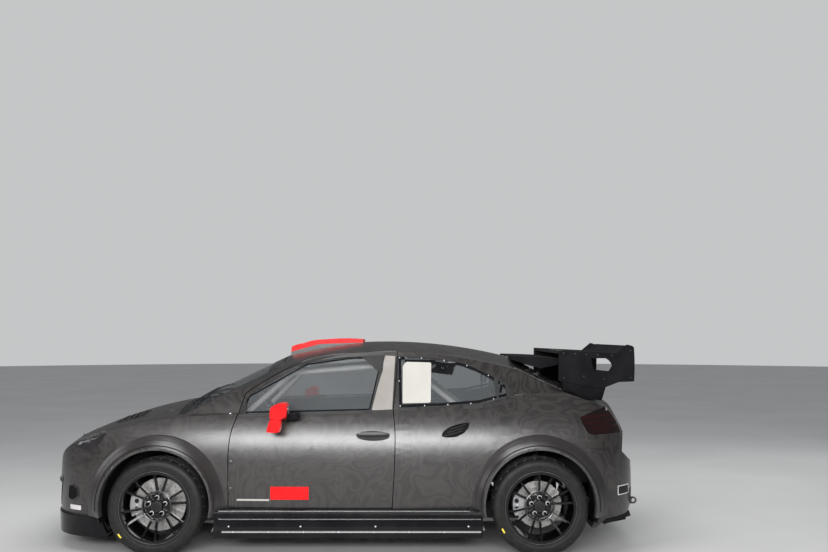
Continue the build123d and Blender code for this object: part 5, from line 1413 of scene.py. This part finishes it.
@dataclass
class RoadWheel:
    """One wheel with its tyre, rim, disc and fastenings."""

    bench: Bench
    name: str
    axle_x: float
    side: int
    tread_radius: float = 0.3205
    block_angle: float = 2.4
    block_inset: float = 0.0012
    block_depth: float = 0.006
    nut_circle: float = 0.058
    drillings: tuple[float, ...] = (0.115, 0.130, 0.145)
    drilling_scale: float = 0.178 / 0.165
    disc_span: tuple[float, float] = (-0.056, -0.024)

    # distance from the tyre's middle and radius
    GROOVES = (-0.058, -0.020, 0.020, 0.058)
    GROOVE = ((-0.006, 0.3245), (-0.0045, 0.3175), (0.0045, 0.3175), (0.006, 0.3245))
    WALL = ((0.080, 0.3228), (0.088, 0.3195), (0.097, 0.3130), (0.1045, 0.3010), (0.1075, 0.2880),
            (0.1079, 0.2760), (0.1066, 0.2752), (0.1066, 0.2728), (0.1077, 0.2720), (0.1070, 0.2600),
            (0.1040, 0.2500), (0.1046, 0.2470), (0.1020, 0.2420), (0.0960, 0.2350), (0.0900, 0.2310),
            (0.0830, 0.2330), (0.0860, 0.2600), (0.0880, 0.2900), (0.0700, 0.3080))
    CAP = ((0.050, 0.0005), (0.0575, 0.001), (0.0575, 0.028), (0.0560, 0.034), (0.0530, 0.0375),
           (0.046, 0.038))
    RINGS = (
        ((0.0495, 0.0935), (0.0535, 0.0950), (0.0545, 0.0975), (0.0535, 0.1000), (0.0495, 0.1015)),
        ((0.1085, 0.2375), (0.1097, 0.2383), (0.1100, 0.2395), (0.1097, 0.2412), (0.1085, 0.2424)),
        ((0.0560, 0.0300), (0.0585, 0.0310), (0.0585, 0.0325), (0.0560, 0.0335)),
    )

    @property
    def body(self) -> str:
        """The body that the wheel rides on."""
        return f"{self.name}_wheel"

    @property
    def centre(self) -> Vector:
        """Middle of the tyre."""
        return Vector((self.axle_x, self.side * WHEEL_Y, AXLE_Z))

    @property
    def outward(self) -> Vector:
        """Direction from the car to the wheel's face."""
        return Vector((0.0, float(self.side), 0.0))

    def build(self) -> None:
        """Builds the tyre, finishes the rim and the disc, and adds what is fixed to them."""
        self._tyre()
        self._sidewall_mark()
        self.bench.dress(f"wheel_{self.name}", [RIM_BLACK, DISC_STEEL], zone=self._disc_zone)
        self._fastenings()
        self._rings()
        self._disc_hole_shades()

    def spot(self, degrees: float, radius: float, along: float) -> Vector:
        """A point of the wheel.

        Args:
            degrees: Angle about the axle.
            radius: Distance from the axle.
            along: Distance outward from the middle of the tyre.

        Returns:
            The point.
        """
        turn = math.radians(degrees)
        return self.centre + self.outward * along + Vector((math.cos(turn) * radius, 0.0,
                                                            math.sin(turn) * radius))

    def circle(self, count: int, start: float, radius: float, along: float) -> list[tuple[Vector, Vector]]:
        """Evenly spaced places round the axle.

        Args:
            count: Number of places.
            start: Angle of the first, in degrees.
            radius: Distance from the axle.
            along: Distance outward from the middle of the tyre.

        Returns:
            Each place with the direction outward.
        """
        return [(self.spot(start + 360.0 / count * number, radius, along), self.outward)
                for number in range(count)]

    def _tyre(self) -> None:
        """Builds the tyre, with ribs, cut tread blocks and rings on the sidewall."""
        tread = [(groove + along, radius) for groove in self.GROOVES for along, radius in self.GROOVE]
        profile = [(-along, radius) for along, radius in reversed(self.WALL)] + tread + list(self.WALL)
        mesh = Maker.turned(profile, self.centre, self.outward, steps=150, closed=True)
        self._cut_blocks(mesh)
        node = f"tyre_{self.name}"
        made = self.bench.piece(node + "_dressed", mesh, RUBBER, self.body, 38.0)
        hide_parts(node)

    def _cut_blocks(self, mesh: BMesh) -> None:
        """Cuts short slots across the ribs, every fifth facet and out of step between the two rows.

        Args:
            mesh: The spun tyre.
        """
        chosen = []
        for face in mesh.faces:
            centre = face.calc_center_median() - self.centre
            along = abs(centre.y)
            outer, inner = 0.062 < along < 0.086, 0.024 < along < 0.054
            if math.hypot(centre.x, centre.z) < self.tread_radius or not (outer or inner):
                continue
            turn = math.degrees(math.atan2(centre.z, centre.x)) % 360.0
            if int(turn / self.block_angle + (0.0 if outer else 1.0)) % 5 == 0:
                chosen.append(face)
        bmesh.ops.inset_individual(mesh, faces=chosen, thickness=self.block_inset, depth=0.0)
        for face in chosen:
            inward = self.centre - face.calc_center_median()
            inward.y = 0.0
            bmesh.ops.translate(mesh, vec=inward.normalized() * self.block_depth, verts=face.verts[:])

    def _sidewall_mark(self) -> None:
        """Adds the short yellow dash on the outer sidewall."""
        angle = 219.0 if self.axle_x < 0.0 else 211.0
        turn = Matrix.Rotation(math.radians(90.0 - angle), 4, "Y")
        mesh = Maker.block(self.spot(angle, 0.2935, 0.1058), (0.034, 0.0030, 0.012), 0.0010, 2, turn)
        self.bench.piece(f"tyre_mark_{self.name}", mesh, YELLOW_MARK, self.body)

    def _fastenings(self) -> None:
        """Adds the five bright nuts, dark discs painted as the shade of the holes between them, and the cap.
        """
        nuts = self.circle(5, 90.0, self.nut_circle, 0.042)
        mesh = Maker.join([Maker.studs(nuts, 0.0125, 0.018, 6, 0.86),
                           Maker.studs(nuts, 0.0155, 0.004, 20, 0.94)])
        self.bench.piece(f"wheel_nuts_{self.name}", mesh, BRIGHT_ALLOY, self.body, 25.0)
        # The holes between the nuts are flat dark discs, painted shade of the holes.
        holes = Maker.studs(self.circle(5, 126.0, self.nut_circle, 0.0415), 0.0115, 0.0012, 18, 0.97)
        cap = Maker.turned(self.CAP, self.centre, self.outward, 40)
        self.bench.piece(f"wheel_cap_{self.name}", Maker.join([holes, cap]), SATIN_BLACK, self.body,
                         slot="rim_black")

    def _rings(self) -> None:
        """Adds the machined rings round the hub and the cap, and the bright edge of the rim's lip."""
        mesh = Maker.join([Maker.turned(ring, self.centre, self.outward, 96, closed=True)
                           for ring in self.RINGS])
        self.bench.piece(f"wheel_rings_{self.name}", mesh, LIP_METAL, self.body)

    def _disc_hole_shades(self) -> None:
        """Adds flat dark discs as painted shade of the brake disc's drillings, in three rows of twelve."""
        spots = []
        for row, radius in enumerate(self.drillings):
            spots += self.circle(12, 9.0 * row, radius * self.drilling_scale, -0.0270)
        # Each drilling is a flat dark disc of painted shade.
        self.bench.piece(f"disc_hole_shades_{self.name}", Maker.studs(spots, 0.0042, 0.0006, 8, 0.95), SATIN_BLACK,
                         self.body, slot="rim_black")

    def _disc_zone(self, centre: Vector, _: Vector) -> int:
        """The finish of one face of the wheel.

        Args:
            centre: Middle of the face.

        Returns:
            One on the brake disc and zero on the rim.
        """
        radius = math.hypot(centre.x - self.centre.x, centre.z - self.centre.z)
        low, high = self.disc_span
        return int(radius < 0.19 and low < (centre.y - self.centre.y) * self.side < high)


@dataclass
class Studio:
    """Floor, lights, world and camera."""

    eye: tuple[float, float, float] = (0.507, -6.87, 1.479)
    rise: float = 3.84
    lens: float = 38.26
    sensor: float = 36.0
    floor_radius: float = 40.0

    # name, place, aim, width, height, power in watts
    LAMPS = (
        ("key_softbox", (-0.4, -7.6, 2.65), (0.0, -0.8, 0.8), 6.6, 1.2, 560.0),
        ("top_softbox", (0.3, -0.4, 5.6), (0.0, 0.0, 0.0), 6.5, 2.4, 250.0),
        ("tail_softbox", (6.5, 3.0, 3.4), (0.5, 0.0, 0.7), 3.0, 3.0, 50.0),
        ("nose_softbox", (-6.5, -2.0, 3.0), (-0.5, 0.0, 0.7), 3.0, 3.0, 50.0),
    )

    def build(self) -> None:
        """Sets up the whole studio."""
        self._floor()
        self._world()
        for lamp in self.LAMPS:
            self._lamp(*lamp)
        self._camera()
        bpy.context.scene.view_settings.view_transform = "Standard"

    def _floor(self) -> None:
        """Lays the plain pale floor."""
        mesh = bmesh.new()
        bmesh.ops.create_circle(mesh, cap_ends=True, segments=96, radius=self.floor_radius)
        data = bpy.data.meshes.new("studio_floor")
        mesh.to_mesh(data)
        mesh.free()
        floor = bpy.data.objects.new("studio_floor", data)
        bpy.context.scene.collection.objects.link(floor)
        data.materials.append(STUDIO_PAINT.material())

    def _world(self) -> None:
        """Lights the car evenly and shows a pale background, dimmer in mirrored rays."""
        world = bpy.data.worlds.new("studio_world")
        bpy.context.scene.world = world
        world.use_nodes = True
        tree = world.node_tree
        tree.nodes.clear()
        rays = tree.nodes.new("ShaderNodeLightPath").outputs
        level = new_node(tree, "Math", {0: rays["Is Glossy Ray"], 1: -0.36, 2: 0.52}, "MULTIPLY_ADD")
        light = new_node(tree, "Background", {"Color": (0.93, 0.96, 1.0, 1.0), "Strength": level.outputs[0]})
        shown = new_node(tree, "Background", {"Color": (0.56, 0.565, 0.57, 1.0), "Strength": 1.0})
        either = new_node(tree, "Math", {0: rays["Is Camera Ray"], 1: rays["Is Transmission Ray"]},
                          "MAXIMUM")
        mix = new_node(tree, "MixShader", {"Fac": either.outputs[0], 1: light.outputs[0],
                                           2: shown.outputs[0]})
        new_node(tree, "OutputWorld", {"Surface": mix.outputs[0]})

    @staticmethod
    def _lamp(name: str, place: Sequence[float], aim: Sequence[float], width: float, height: float,
              power: float) -> None:
        """Hangs one soft lamp.

        Args:
            name: Name of the lamp.
            place: Where it hangs.
            aim: Point that it faces.
            width: Width of its panel.
            height: Height of its panel.
            power: Power in watts.
        """
        data = bpy.data.lights.new(name, "AREA")
        data.shape = "RECTANGLE"
        data.size = width
        data.size_y = height
        data.energy = power
        lamp = bpy.data.objects.new(name, data)
        lamp.location = place
        lamp.rotation_euler = (Vector(aim) - Vector(place)).to_track_quat("-Z", "Y").to_euler()
        bpy.context.scene.collection.objects.link(lamp)

    def _camera(self) -> None:
        """Sets the camera at the photograph's place and angle."""
        data = bpy.data.cameras.new("photo_camera")
        data.lens = self.lens
        data.sensor_width = self.sensor
        camera = bpy.data.objects.new("photo_camera", data)
        camera.location = self.eye
        camera.rotation_euler = (math.radians(90.0 + self.rise), 0.0, 0.0)
        bpy.context.scene.collection.objects.link(camera)
        bpy.context.scene.camera = camera


def main() -> None:
    """Builds the classes in order."""
    logging.basicConfig(level=logging.INFO, format="%(message)s")
    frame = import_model()
    bench = Bench(frame)
    Studio().build()
    BodyShell(bench).build()
    Underpinnings(bench).dress()
    for end, axle_x in (("front", FRONT_AXLE_X), ("rear", REAR_AXLE_X)):
        for side in (LEFT, RIGHT):
            RoadWheel(bench, f"{end}_{SIDE_NAMES[side]}", axle_x, side).build()
    for side in (LEFT, RIGHT):
        SideTrim(bench, side).build()
    CentreTrim(bench).build()
    Cabin(bench).build()
    LOG.info("%d pieces made", bench.count)


if __name__ == "__main__":
    main()
